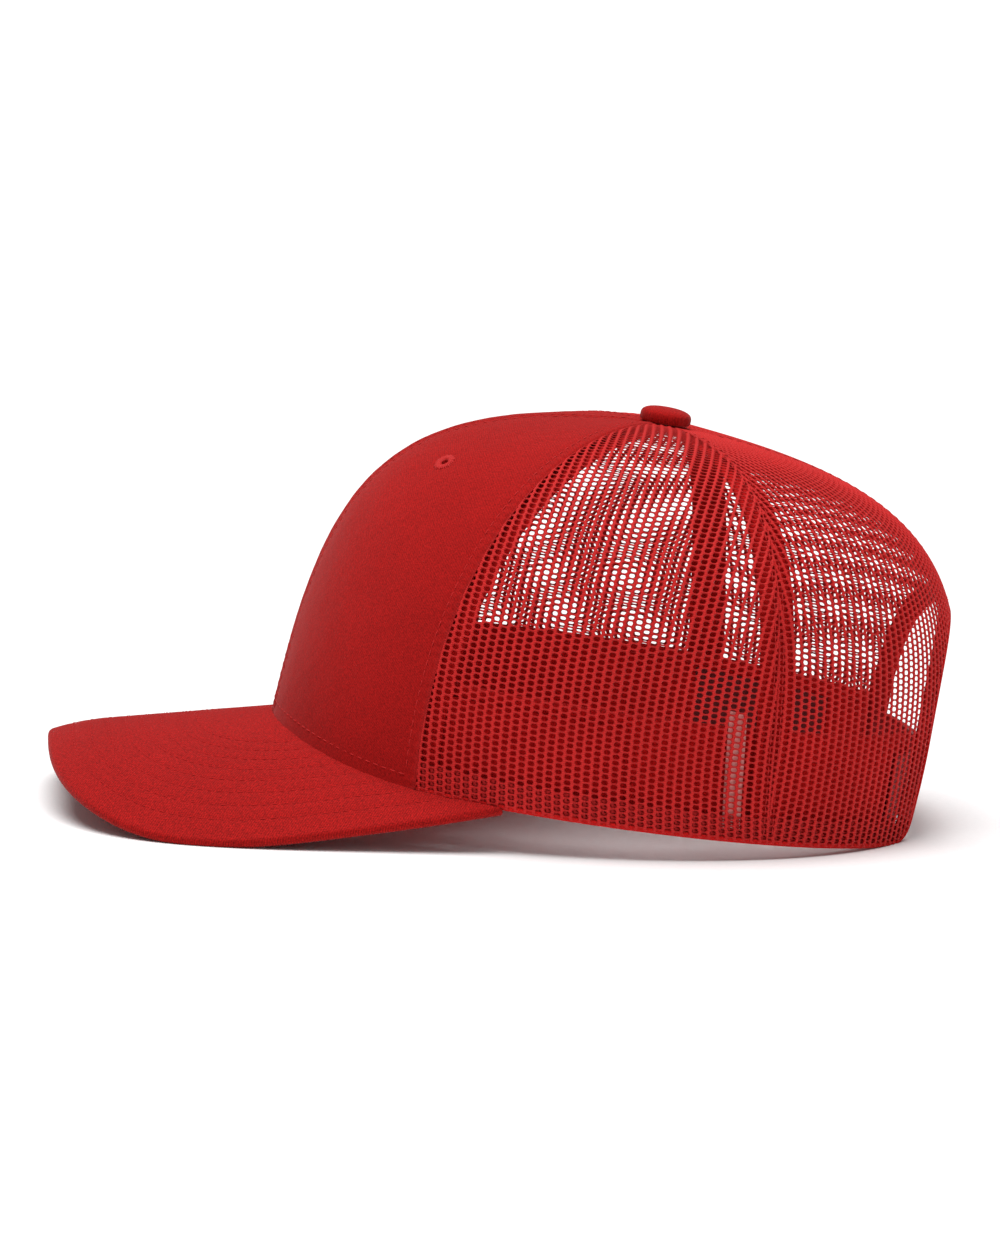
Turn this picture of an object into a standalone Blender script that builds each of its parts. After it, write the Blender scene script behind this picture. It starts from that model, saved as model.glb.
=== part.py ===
"""Trucker mesh cap: six-panel crown, curved visor, arch opening and snap closure.

Metres, +Z up. The visor points along -Y and the wearer's left is +X. The cap rests on z = 0 on
the two low edges of its visor and on the rear corners of its rim. Angles round the crown are
pattern angles: 0 is the front seam, 60 the front/side seam, 120 the side/back seam, 180 the back
seam, and positive angles lie on the wearer's left. A share is a place on a meridian, from 0 at
the rim to 1 at the button.
"""
import math

import bmesh
import bpy
from mathutils import Matrix, Vector

# ---------------------------------------------------------------- crown
GAP = 0.0003                      # clearance between touching pieces

# Each meridian is a cubic Bezier from the rim to the button: rim, two handles, apex.
APEX = (0.0, 0.0466, 0.1186)
FRONT_MERIDIAN = ((0.0, -0.0689, 0.0220), (0.0, -0.0546, 0.1000), (0.0, -0.0386, 0.1268), APEX)
FRONT_SIDE_MERIDIAN = ((0.0643, -0.0295, 0.0163), (0.0690, -0.0274, 0.0860),
                       (0.0630, 0.0099, 0.1270), APEX)
SIDE_BACK_MERIDIAN = ((0.0735, 0.0731, 0.0049), (0.0785, 0.0731, 0.0660),
                      (0.0860, 0.0786, 0.1180), APEX)
BACK_MERIDIAN = ((0.0, 0.1306, -0.0022), (0.0, 0.1454, 0.0580), (0.0, 0.1494, 0.1030), APEX)
MERIDIANS = tuple(tuple(Vector(point) for point in meridian) for meridian in (
    FRONT_MERIDIAN, FRONT_SIDE_MERIDIAN, SIDE_BACK_MERIDIAN, BACK_MERIDIAN))
PANEL_ANGLE = 60.0                # pattern angle of one panel
CROWN_END = 0.99                  # panels stop here, short of the button's rivet
NORMAL_ANGLE = 0.5                # steps used to measure a surface normal
NORMAL_SHARE = 0.004
HIGHEST_SHARE = 0.8               # heights on a meridian are looked up below this share
HIGHEST_VISOR_SHARE = 0.3         # the visor joins the crown below this share

# ---------------------------------------------------------------- layers, from the outside in
PANEL_THICKNESS = 0.0008
PANEL_GRID = (8, 18)              # faces across and up one panel
LAYER_FOOT = 0.02                 # share at which the layers behind the panels start
BUCKRAM_DEPTH = 0.0012
BUCKRAM_THICKNESS = 0.0005
BUCKRAM_ANGLES = (0.0, 59.0)
BUCKRAM_TOP = 0.93
BUCKRAM_GRID = (8, 16)
MESH_TAPE_DEPTH = 0.0013          # tapes straight behind the mesh
FRONT_TAPE_DEPTH = 0.0021         # tapes over the buckram
TAPE_THICKNESS = 0.0004
TAPE_HALF_WIDTH = 0.0056
TAPE_TAPER = 0.36                 # half width over distance from the button, near the button
TAPE_END = 0.957
TAPE_GRID = (2, 18)
PADDING_DEPTH = 0.0029
PADDING_THICKNESS = 0.0012
PADDING_HEIGHT = 0.029
PADDING_REACH = 96.0
PADDING_GRID = (30, 2)
SWEATBAND_DEPTH = 0.0045
SWEATBAND_THICKNESS = 0.0008
SWEATBAND_HEIGHT = 0.033
SWEATBAND_REACH = 153.0           # pattern angle where the band stops at the arch
SWEATBAND_GRID = (48, 3)

# ---------------------------------------------------------------- arch opening and its straps
ARCH_HALF_WIDTH = 0.036
ARCH_SPRING = 0.028
ARCH_TOP = 0.067
ARCH_POWER = 2.4
ARCH_STEPS = 20
ARCH_FOOT = -0.02                 # the cutters reach down past the rim
BINDING_WIDTH = 0.0055
BINDING_DEPTH = 0.0013
BINDING_THICKNESS = 0.0005
BINDING_ANGLES = (146.0, 214.0)   # patch of wall that the binding is cut from
BINDING_SHARES = (0.0, 0.50)
BINDING_GRID = (14, 20)
BINDING_CLEARANCE = 6 * GAP       # from the binding to the tape above it
ARCH_CUT_FROM = 0.085             # the cutters run from here backwards past the crown
ARCH_CUT_TO = 0.160

STRAP_HALF_SPAN = 0.0335          # hinge lines of both straps, each side of the middle
STRAP_MIDDLE_HEIGHT = 0.0175
STRAP_WIDTH = 0.0190
STRAP_THICKNESS = 0.0013
STRAP_BOW = 0.0040                # how far the closed straps stand behind their hinge lines
STRAP_LEAN = math.radians(10.5)   # the closed straps follow the wall, which leans outwards
STRAP_OVERRUN = 0.0195            # how far each free end passes the middle
STRAP_GRID = (16, 4)
TAB_DEPTH = 0.0022
TAB_ANGLE = 8.0
TAB_GRID = (8, 4)
STRAP_CORNER = 0.0050
PEG_PITCH = 0.0095
PEG_RADIUS = 0.0019
PEG_STAND = 0.0024
PEG_SLOTS = (-1.5, -0.5, 0.5, 1.5, 2.5)   # pitches from the middle towards a strap's own root
PIN_SEGMENTS = 16
HOLE_RADIUS = 0.0027

# ---------------------------------------------------------------- visor
VISOR_CENTRE_Y = -0.0506
VISOR_HALF_WIDTH = 0.0780
VISOR_REACH = 0.0852              # from the outline's widest line forwards to the tip
VISOR_BACK_REACH = 0.1100         # the same backwards, where the outline would close
VISOR_POWER = 3.0
VISOR_OUTLINE_ANGLE = 121.0       # direction of the corners from the outline's centre
VISOR_CORNER_ANGLE = 72.0         # pattern angle of the corners on the crown
VISOR_ROOT_Y = -0.0686
VISOR_ROOT_HEIGHT = 0.0277
VISOR_SLOPE = 0.105
VISOR_DROOP_Y = -0.1166
VISOR_DROOP = 7.0
VISOR_TIP_Y = -0.1306
VISOR_TIP_RADIUS = 0.1200         # radius of the bend across the visor at its tip
VISOR_RADIUS_GROWTH = 0.25        # gain of that radius per metre towards the crown
COVER_THICKNESS = 0.0005
BOARD_THICKNESS = 0.0017
VISOR_THICKNESS = 2 * COVER_THICKNESS + 2 * GAP + BOARD_THICKNESS
VISOR_COLUMNS = 38
VISOR_ROWS = 6
EDGE_ROW = 0.0009                 # width of the last row, which carries the turned-down edge
ROOT_GROWTH = 0.45                # gap to the crown gained per metre of depth in the visor

# ---------------------------------------------------------------- button, eyelets and labels
BUTTON_TILT = math.radians(-7.5)
BUTTON_RADIUS = 0.0077
BUTTON_HEIGHT = 0.0042
BUTTON_LIFT = 0.0010              # underside of the cover above the apex
SHELL_THICKNESS = 0.0005
SHANK_RADIUS = 0.0013
WASHER_RADIUS = 0.0075
WASHER_DEPTH = 0.0016
WASHER_THICKNESS = 0.0006
DOME_FOOT = 0.0012                # height of the tucked-in edge of a button shell
DOME_STEPS = 6
DOME_SHOULDER = 0.8               # powers that flatten the dome and round its shoulder
DOME_CREST = 0.7
RIVET_FLANGE = 3.0                # radii of the rivet's ends, in shank radii
RIVET_HEAD = 2.0
RIVET_HEAD_EDGE = 1.6
EYELET_ANGLE = 28.0
EYELET_HEIGHT = 0.1077
EYELET_HOLE = 0.0011
EYELET_BARREL = 0.0017
EYELET_RADIUS = 0.0038
EYELET_THICKNESS = 0.0006
EYELET_CUT = 0.010                # length of the cutter through panel and buckram
CARE_LABEL_ANGLES = (112.3, 115.3)
CARE_LABEL_HEIGHTS = (0.003, 0.038)   # above the rim
WOVEN_LABEL_ANGLES = (-145.0, -119.0)
WOVEN_LABEL_HEIGHTS = (0.005, 0.028)
LABEL_THICKNESS = 0.0003
CARE_LABEL_GRID = (2, 6)
WOVEN_LABEL_GRID = (8, 2)
ROUND_STEPS = 18
MERGE = 1e-5                      # merge distance of turned shapes
FLOOR_SIZE = 0.4
FLOOR_DEPTH = 0.02
HALVINGS = 40                     # steps of a search by halving

TWILL_RED = (0.45, 0.012, 0.016)
MESH_RED = (0.52, 0.020, 0.022)
WHITE = (0.85, 0.84, 0.82)
DARK = (0.02, 0.012, 0.012)
STEEL = (0.55, 0.56, 0.58)
SIDES = (("left", 1.0), ("right", -1.0))


# ---------------------------------------------------------------- scene helpers
def clear_scene():
    for item in list(bpy.data.objects):
        bpy.data.objects.remove(item, do_unlink=True)


def new_collection(name):
    collection = bpy.data.collections.new(name)
    bpy.context.scene.collection.children.link(collection)
    return collection


def make_material(name, colour, roughness, metallic=0.0):
    material = bpy.data.materials.new(name)
    material.use_nodes = True
    shader = material.node_tree.nodes["Principled BSDF"]
    shader.inputs["Base Color"].default_value = (*colour, 1.0)
    shader.inputs["Roughness"].default_value = roughness
    shader.inputs["Metallic"].default_value = metallic
    material.diffuse_color = (*colour, 1.0)
    return material


def add_object(name, bm, collection, material=None):
    mesh = bpy.data.meshes.new(name)
    bm.to_mesh(mesh)
    bm.free()
    item = bpy.data.objects.new(name, mesh)
    collection.objects.link(item)
    if material:
        mesh.materials.append(material)
    return item


def add_cutter(name, bm):
    cutter = add_object(name, bm, CUTTERS)
    cutter.hide_render = True
    cutter.display_type = "WIRE"
    return cutter


def thicken(item, thickness):
    """Give an open surface its thickness on the inner side."""
    solid = item.modifiers.new("Thickness", "SOLIDIFY")
    solid.thickness = thickness
    solid.offset = -1.0
    solid.use_even_offset = True
    solid.use_quality_normals = True


def combine(item, cutter, operation="DIFFERENCE"):
    boolean = item.modifiers.new(operation.title(), "BOOLEAN")
    boolean.operation = operation
    boolean.solver = "EXACT"
    boolean.object = cutter


def surface_sheet(name, material, columns, rows, place, thickness):
    """A grid primitive laid on a surface: place(u, v) gives the point for u and v in 0..1."""
    bm = bmesh.new()
    bmesh.ops.create_grid(bm, x_segments=columns, y_segments=rows, size=0.5)
    for vertex in bm.verts:
        vertex.co = place(vertex.co.x + 0.5, vertex.co.y + 0.5)
    item = add_object(name, bm, PARTS, material)
    thicken(item, thickness)
    return item


# ---------------------------------------------------------------- crown surface
def bezier(points, share):
    rest = 1.0 - share
    weights = (rest ** 3, 3 * share * rest ** 2, 3 * share ** 2 * rest, share ** 3)
    return sum((weight * point for weight, point in zip(weights, points)), Vector())


def crown_point(angle, share):
    """Blend the meridians round the crown with the few cosines that pass through all of them."""
    turn = math.radians(angle)
    step = math.radians(PANEL_ANGLE)
    front, front_side, side_back, back = (bezier(points, share) for points in MERIDIANS)
    point = (front + 2 * front_side + 2 * side_back + back) / 6
    for wave in (1, 2):
        mixed = front + back * (-1) ** wave
        mixed += 2 * front_side * math.cos(wave * step) + 2 * side_back * math.cos(2 * wave * step)
        point += mixed / 3 * math.cos(wave * turn)
    point += (front - 2 * front_side + 2 * side_back - back) / 6 * math.cos(3 * turn)
    point.x = 0.0
    for wave in (1, 2):
        mixed = front_side.x * math.sin(wave * step) + side_back.x * math.sin(2 * wave * step)
        point.x += 2 / 3 * mixed * math.sin(wave * turn)
    return point


def crown_normal(angle, share):
    low, high = max(share - NORMAL_SHARE, 0.0), min(share + NORMAL_SHARE, 1.0 - NORMAL_SHARE)
    round_step = crown_point(angle + NORMAL_ANGLE, share) - crown_point(angle - NORMAL_ANGLE, share)
    up_step = crown_point(angle, high) - crown_point(angle, low)
    return round_step.cross(up_step).normalized()


def crown_inside(angle, share, depth):
    return crown_point(angle, share) - crown_normal(angle, share) * depth


def angle_for_distance(angle, share, distance):
    """Pattern angle that lies a distance round the crown from another."""
    step = crown_point(angle + NORMAL_ANGLE, share) - crown_point(angle - NORMAL_ANGLE, share)
    return distance / step.length * 2 * NORMAL_ANGLE


def last_below(low, high, is_below):
    """Largest value between low and high for which is_below still holds."""
    for _ in range(HALVINGS):
        middle = (low + high) / 2
        if is_below(middle):
            low = middle
        else:
            high = middle
    return low


def share_at_height(angle, height):
    return last_below(0.0, HIGHEST_SHARE, lambda share: crown_point(angle, share).z < height)


def share_above_rim(angle, rise):
    return share_at_height(angle, crown_point(angle, 0.0).z + rise)


def wall_sheet(name, material, angles, shares, depth, thickness, columns, rows, inset=GAP / 2):
    """A layer of the wall between two pattern angles, with a gap kept along both sides."""
    first, last = angles

    def place(u, v):
        share = shares[0] + (shares[1] - shares[0]) * v
        margin = angle_for_distance((first + last) / 2, share, inset)
        angle = first + margin + (last - first - 2 * margin) * u
        return crown_inside(angle, share, depth)

    return surface_sheet(name, material, columns, rows, place, thickness)


def band_sheet(name, material, angles, rise, depth, thickness, columns, rows):
    """A layer that stands a height above the rim all along it."""
    first, last = angles

    def place(u, v):
        angle = first + (last - first) * u
        return crown_inside(angle, share_above_rim(angle, rise) * v, depth)

    return surface_sheet(name, material, columns, rows, place, thickness)


# ---------------------------------------------------------------- crown pieces
def side_angles(sign, first, last):
    return (first, last) if sign > 0 else (-last, -first)


def build_panels(arch_cutter, floor_cutter):
    for side, sign in SIDES:
        front = wall_sheet(f"front_panel_{side}", TWILL, side_angles(sign, 0.0, PANEL_ANGLE),
                           (0.0, CROWN_END), 0.0, PANEL_THICKNESS, *PANEL_GRID)
        combine(front, eyelet_cutter(side, sign))
        wall_sheet(f"side_mesh_{side}", MESH, side_angles(sign, PANEL_ANGLE, 2 * PANEL_ANGLE),
                   (0.0, CROWN_END), 0.0, PANEL_THICKNESS, *PANEL_GRID)
        back = wall_sheet(f"back_mesh_{side}", MESH,
                          side_angles(sign, 2 * PANEL_ANGLE, 3 * PANEL_ANGLE),
                          (0.0, CROWN_END), 0.0, PANEL_THICKNESS, *PANEL_GRID)
        combine(back, arch_cutter)
        combine(back, floor_cutter)


def build_buckram():
    for side, sign in SIDES:
        stiffener = wall_sheet(f"buckram_{side}", BUCKRAM, side_angles(sign, *BUCKRAM_ANGLES),
                               (LAYER_FOOT, BUCKRAM_TOP), BUCKRAM_DEPTH, BUCKRAM_THICKNESS,
                               *BUCKRAM_GRID, GAP)
        combine(stiffener, eyelet_cutter(side, sign, "buckram_"))


def build_tape(name, angle, shares, depth):
    """A tape centred on a seam, narrowing where the seams close in on the button."""
    def place(u, v):
        share = shares[0] + (shares[1] - shares[0]) * v
        from_button = (crown_point(angle, share) - Vector(APEX)).length
        half_width = min(TAPE_HALF_WIDTH, TAPE_TAPER * from_button)
        reach = angle_for_distance(angle, share, half_width)
        return crown_inside(angle + reach * (2 * u - 1), share, depth)

    return surface_sheet(name, TAPE, *TAPE_GRID, place, TAPE_THICKNESS)


def build_seam_tapes():
    full = (LAYER_FOOT, TAPE_END)
    back_seam = 3 * PANEL_ANGLE
    over_arch = share_at_height(back_seam, ARCH_TOP + BINDING_WIDTH + BINDING_CLEARANCE)
    build_tape("front_seam_tape", 0.0, full, FRONT_TAPE_DEPTH)
    build_tape("back_seam_tape", back_seam, (over_arch, TAPE_END), MESH_TAPE_DEPTH)
    for side, sign in SIDES:
        build_tape(f"front_side_seam_tape_{side}", sign * PANEL_ANGLE, full, FRONT_TAPE_DEPTH)
        build_tape(f"side_back_seam_tape_{side}", sign * 2 * PANEL_ANGLE, full, MESH_TAPE_DEPTH)


def build_sweatband(floor_cutter):
    reach = (-SWEATBAND_REACH, SWEATBAND_REACH)
    band = band_sheet("sweatband", SWEAT, reach, SWEATBAND_HEIGHT, SWEATBAND_DEPTH,
                      SWEATBAND_THICKNESS, *SWEATBAND_GRID)
    combine(band, floor_cutter)
    padded = (-PADDING_REACH, PADDING_REACH)
    band_sheet("sweatband_padding", FOAM, padded, PADDING_HEIGHT, PADDING_DEPTH,
               PADDING_THICKNESS, *PADDING_GRID)


# ---------------------------------------------------------------- arch opening
def arch_outline(margin):
    """Arch in the x-z plane, from its left foot over the top to its right foot."""
    outline = []
    for step in range(ARCH_STEPS + 1):
        turn = math.pi * step / ARCH_STEPS
        across, up = math.cos(turn), math.sin(turn)
        x = math.copysign(abs(across) ** (2 / ARCH_POWER), across)
        z = up ** (2 / ARCH_POWER) if up > 0 else 0.0
        outline.append((x * (ARCH_HALF_WIDTH + margin),
                        ARCH_SPRING + z * (ARCH_TOP - ARCH_SPRING + margin)))
    return outline


def arch_prism(name, margin):
    """Solid block with the arch's outline, reaching from inside the crown past its back."""
    arch = arch_outline(margin)
    outline = [(arch[0][0], ARCH_FOOT), *arch, (arch[-1][0], ARCH_FOOT)]
    bm = bmesh.new()
    corners = [bm.verts.new((x, ARCH_CUT_FROM, z)) for x, z in outline]
    bm.faces.new(corners)
    swept = bmesh.ops.extrude_face_region(bm, geom=bm.faces[:])
    moved = [item for item in swept["geom"] if isinstance(item, bmesh.types.BMVert)]
    bmesh.ops.translate(bm, vec=(0.0, ARCH_CUT_TO - ARCH_CUT_FROM, 0.0), verts=moved)
    bmesh.ops.recalc_face_normals(bm, faces=bm.faces)
    return add_cutter(name, bm)


def build_arch_binding(arch_cutter, floor_cutter):
    """Tape inside the edge of the opening: a patch of wall kept between two arches."""
    binding = wall_sheet("arch_binding", TAPE, BINDING_ANGLES, BINDING_SHARES, BINDING_DEPTH,
                         BINDING_THICKNESS, *BINDING_GRID)
    combine(binding, arch_prism("arch_binding_outside", BINDING_WIDTH), "INTERSECT")
    combine(binding, arch_cutter)
    combine(binding, floor_cutter)


# ---------------------------------------------------------------- snap straps
def strap_radius():
    return (STRAP_HALF_SPAN ** 2 + STRAP_BOW ** 2) / (2 * STRAP_BOW)


def strap_hinge(sign, layer):
    """World place of a strap's hinge line at the middle of its height."""
    share = share_at_height(strap_root_angle(), STRAP_MIDDLE_HEIGHT)
    wall = crown_inside(strap_root_angle(), share, TAB_DEPTH + STRAP_THICKNESS / 2)
    lean = Matrix.Rotation(-STRAP_LEAN, 4, "X")
    return Vector((sign * wall.x, wall.y, wall.z)) + lean @ Vector((0.0, layer, 0.0))


def strap_root_angle():
    """Pattern angle at which the inside of the wall is half the straps' span from the middle."""
    def is_outside(angle):
        share = share_at_height(angle, STRAP_MIDDLE_HEIGHT)
        return crown_inside(angle, share, TAB_DEPTH + STRAP_THICKNESS / 2).x > STRAP_HALF_SPAN

    return last_below(2 * PANEL_ANGLE, 3 * PANEL_ANGLE, is_outside)


def strap_arc(across, layer):
    """Point and outward direction of the closed strap, layer metres outside its middle arc."""
    radius = strap_radius()
    turn = math.asin(across / radius)
    outward = Vector((math.sin(turn), math.cos(turn), 0.0))
    centre = Vector((0.0, STRAP_BOW - radius, 0.0))
    return centre + outward * (radius + layer), outward


def strap_pins(name, sign, layer, radius, reach):
    """Cylinders square to the strap at each slot, between two distances off its middle arc."""
    root = strap_arc(sign * STRAP_HALF_SPAN, layer)[0]
    start, end = reach
    bm = bmesh.new()
    for slot in PEG_SLOTS:
        middle, outward = strap_arc(sign * slot * PEG_PITCH, layer)
        place = Matrix.Translation(middle - root + outward * (start + end) / 2)
        turn = outward.to_track_quat("Z", "Y").to_matrix().to_4x4()
        bmesh.ops.create_cone(bm, cap_ends=True, segments=PIN_SEGMENTS, radius1=radius,
                              radius2=radius, depth=end - start, matrix=place @ turn)
    return add_cutter(name, bm)


def hang_on_hinge(item, sign, layer):
    item.location = strap_hinge(sign, layer)
    item.rotation_euler = (-STRAP_LEAN, 0.0, 0.0)


def build_strap(name, sign, layer):
    """Bowed strip from its hinge line on one side to its free end past the middle."""
    ends = sorted((sign * STRAP_HALF_SPAN, -sign * STRAP_OVERRUN))
    root = strap_arc(sign * STRAP_HALF_SPAN, layer)[0]

    def place(u, v):
        across = ends[1] + (ends[0] - ends[1]) * u
        from_tip = abs(across + sign * STRAP_OVERRUN)
        lost = max(STRAP_CORNER - from_tip, 0.0)
        half = STRAP_WIDTH / 2 - STRAP_CORNER + math.sqrt(STRAP_CORNER ** 2 - lost ** 2)
        point = strap_arc(across, layer + STRAP_THICKNESS / 2)[0]
        return point - root + Vector((0.0, 0.0, half * (2 * v - 1)))

    strap = surface_sheet(name, PLASTIC, *STRAP_GRID, place, STRAP_THICKNESS)
    hang_on_hinge(strap, sign, layer)
    return strap


def build_straps():
    layer = (STRAP_THICKNESS + GAP) / 2
    pegged = build_strap("snap_strap_pegs", 1.0, -layer)
    pegs = strap_pins("strap_pegs_added", 1.0, -layer, PEG_RADIUS,
                      (0.0, STRAP_THICKNESS / 2 + PEG_STAND))
    hang_on_hinge(pegs, 1.0, -layer)
    combine(pegged, pegs, "UNION")
    holed = build_strap("snap_strap_holes", -1.0, layer)
    holes = strap_pins("strap_holes_cut", -1.0, layer, HOLE_RADIUS,
                       (-2 * STRAP_THICKNESS, 2 * STRAP_THICKNESS))
    hang_on_hinge(holes, -1.0, layer)
    combine(holed, holes)


def build_strap_tabs():
    """The sewn ends of both straps, lying inside the wall beside the opening."""
    share = share_at_height(strap_root_angle(), STRAP_MIDDLE_HEIGHT)
    clear = angle_for_distance(strap_root_angle(), share, STRAP_THICKNESS + 2 * GAP)
    inner = strap_root_angle() - clear
    low = STRAP_MIDDLE_HEIGHT - STRAP_WIDTH / 2
    for side, sign in SIDES:
        first, last = side_angles(sign, inner - TAB_ANGLE, inner)

        def place(u, v, first=first, last=last):
            angle = first + (last - first) * u
            return crown_inside(angle, share_at_height(angle, low + STRAP_WIDTH * v), TAB_DEPTH)

        surface_sheet(f"strap_tab_{side}", PLASTIC, *TAB_GRID, place, STRAP_THICKNESS)


# ---------------------------------------------------------------- visor
def visor_height(x, y):
    """Top of the visor: a sloping ridge bent down to both sides, tighter towards the tip."""
    ridge = VISOR_ROOT_HEIGHT + VISOR_SLOPE * (y - VISOR_ROOT_Y)
    if y < VISOR_DROOP_Y:
        ridge -= VISOR_DROOP * (y - VISOR_DROOP_Y) ** 2
    radius = VISOR_TIP_RADIUS + VISOR_RADIUS_GROWTH * (y - VISOR_TIP_Y)
    return ridge - radius + math.sqrt(radius ** 2 - x ** 2)


def visor_point(x, y, depth, edge_share):
    """Point a depth below the top: straight below at the crown, square to the top at the edge."""
    step = GAP
    slope_x = (visor_height(x + step, y) - visor_height(x - step, y)) / (2 * step)
    slope_y = (visor_height(x, y + step) - visor_height(x, y - step)) / (2 * step)
    normal = Vector((-slope_x, -slope_y, 1.0)).normalized()
    below = Vector((0.0, 0.0, 1.0 / normal.z)).lerp(normal, edge_share)
    return Vector((x, y, visor_height(x, y))) - below * depth


def visor_edge(turn):
    """Plan point of the outline, for turn from -1 at the right corner to 1 at the left."""
    direction = math.radians(VISOR_OUTLINE_ANGLE * turn)
    across, ahead = math.sin(direction), math.cos(direction)
    reach = VISOR_REACH if ahead > 0 else VISOR_BACK_REACH
    size = (abs(across / VISOR_HALF_WIDTH) ** VISOR_POWER
            + abs(ahead / reach) ** VISOR_POWER) ** (-1 / VISOR_POWER)
    return Vector((across * size, VISOR_CENTRE_Y - ahead * size))


def visor_root(turn):
    """Plan point where the visor's top meets the outside of the crown."""
    angle = VISOR_CORNER_ANGLE * turn

    def is_under_visor(share):
        point = crown_point(angle, share)
        return point.z < visor_height(point.x, point.y)

    share = last_below(0.0, HIGHEST_VISOR_SHARE, is_under_visor)
    point = crown_point(angle, share) + crown_normal(angle, share) * GAP
    return Vector((point.x, point.y))


def visor_sheet(name, material, depth, thickness, edge_inset, lip=0.0):
    """A layer of the visor between the crown and the outline, with an edge turned down."""
    turns = [1 - 2 * column / VISOR_COLUMNS for column in range(VISOR_COLUMNS + 1)]
    spans = [(visor_root(turn), visor_edge(turn)) for turn in turns]
    rows = VISOR_ROWS + (1 if lip else 0)

    def place(u, v):
        root, edge = spans[round(u * VISOR_COLUMNS)]
        row = round(v * rows)
        along = (edge - root).normalized()
        start = root + along * ROOT_GROWTH * (depth + thickness)
        end = edge - along * edge_inset
        edge_share = min(row / VISOR_ROWS, 1.0)
        plan = start.lerp(end - along * EDGE_ROW, row / (VISOR_ROWS - 1))
        if row > VISOR_ROWS - 1:
            plan = end
        drop = lip if row > VISOR_ROWS else 0.0
        return visor_point(plan.x, plan.y, depth + drop, edge_share)

    return surface_sheet(name, material, VISOR_COLUMNS, rows, place, thickness)


def build_visor(floor_cutter):
    top = visor_sheet("visor_top_cover", TWILL, 0.0, COVER_THICKNESS, 0.0, VISOR_THICKNESS)
    combine(top, floor_cutter)
    inside_lip = COVER_THICKNESS + 3 * GAP
    visor_sheet("visor_board", BOARD, COVER_THICKNESS + GAP, BOARD_THICKNESS, inside_lip)
    under_depth = VISOR_THICKNESS - COVER_THICKNESS
    under = visor_sheet("visor_under_cover", TWILL, under_depth, COVER_THICKNESS, inside_lip)
    combine(under, floor_cutter)


# ---------------------------------------------------------------- button and eyelets
def turned(name, material, profile, closed_on_axis):
    """A closed profile of (radius, height) points spun once round Z by a Screw modifier."""
    bm = bmesh.new()
    verts = [bm.verts.new((radius, 0.0, height)) for radius, height in profile]
    pairs = list(zip(verts, verts[1:]))
    if not closed_on_axis:
        pairs.append((verts[-1], verts[0]))
    for pair in pairs:
        bm.edges.new(pair)
    item = add_object(name, bm, PARTS, material)
    screw = item.modifiers.new("Turn", "SCREW")
    screw.steps = ROUND_STEPS
    screw.render_steps = ROUND_STEPS
    screw.use_merge_vertices = True
    screw.merge_threshold = MERGE
    return item


def dome_profile(radius, height, thickness):
    """Half a button: domed top, rounded shoulder and a tucked-in foot, with its hollow."""
    def shell(inset):
        wide, tall = radius - inset, height - inset - DOME_FOOT
        outline = []
        for step in range(DOME_STEPS + 1):
            turn = math.pi / 2 * step / DOME_STEPS
            outline.append((wide * math.sin(turn) ** DOME_SHOULDER,
                            DOME_FOOT + tall * max(math.cos(turn), 0.0) ** DOME_CREST))
        outline.append((wide - DOME_FOOT / 2, 0.0))
        return outline

    return shell(0.0) + shell(thickness)[::-1]


def build_button():
    place = Matrix.Translation(APEX) @ Matrix.Rotation(BUTTON_TILT, 4, "X")
    base = place @ Matrix.Translation((0.0, 0.0, BUTTON_LIFT))
    cover_outline = dome_profile(BUTTON_RADIUS, BUTTON_HEIGHT, COVER_THICKNESS)
    cover = turned("button_cover", TWILL, cover_outline, True)
    inset = COVER_THICKNESS + GAP
    shell_outline = dome_profile(BUTTON_RADIUS - inset, BUTTON_HEIGHT - inset, SHELL_THICKNESS)
    shell = turned("button_shell", METAL, shell_outline, True)
    washer_top = -BUTTON_LIFT - WASHER_DEPTH
    flange_top = BUTTON_HEIGHT - inset - SHELL_THICKNESS - GAP
    flange = flange_top - SHELL_THICKNESS
    washer_foot = washer_top - WASHER_THICKNESS
    head = washer_foot - GAP
    head_foot = head - SHELL_THICKNESS
    rivet = turned("button_rivet", METAL, (
        (0.0, flange_top), (RIVET_FLANGE * SHANK_RADIUS, flange_top),
        (RIVET_FLANGE * SHANK_RADIUS, flange), (SHANK_RADIUS, flange), (SHANK_RADIUS, head),
        (RIVET_HEAD * SHANK_RADIUS, head), (RIVET_HEAD_EDGE * SHANK_RADIUS, head_foot),
        (0.0, head_foot)), True)
    bore = SHANK_RADIUS + GAP
    washer = turned("button_washer", METAL, (
        (bore, washer_top), (WASHER_RADIUS, washer_top), (WASHER_RADIUS, washer_foot),
        (bore, washer_foot)), False)
    for item in (cover, shell, rivet, washer):
        item.matrix_world = base


def eyelet_frame(sign):
    angle = sign * EYELET_ANGLE
    share = share_at_height(angle, EYELET_HEIGHT)
    turn = crown_normal(angle, share).to_track_quat("Z", "Y").to_matrix().to_4x4()
    return Matrix.Translation(crown_point(angle, share)) @ turn


def eyelet_cutter(side, sign, prefix=""):
    bm = bmesh.new()
    bmesh.ops.create_cone(bm, cap_ends=True, segments=ROUND_STEPS, radius1=EYELET_BARREL + GAP,
                          radius2=EYELET_BARREL + GAP, depth=EYELET_CUT)
    cutter = add_cutter(f"{prefix}eyelet_hole_{side}", bm)
    cutter.matrix_world = eyelet_frame(sign)
    return cutter


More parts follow.
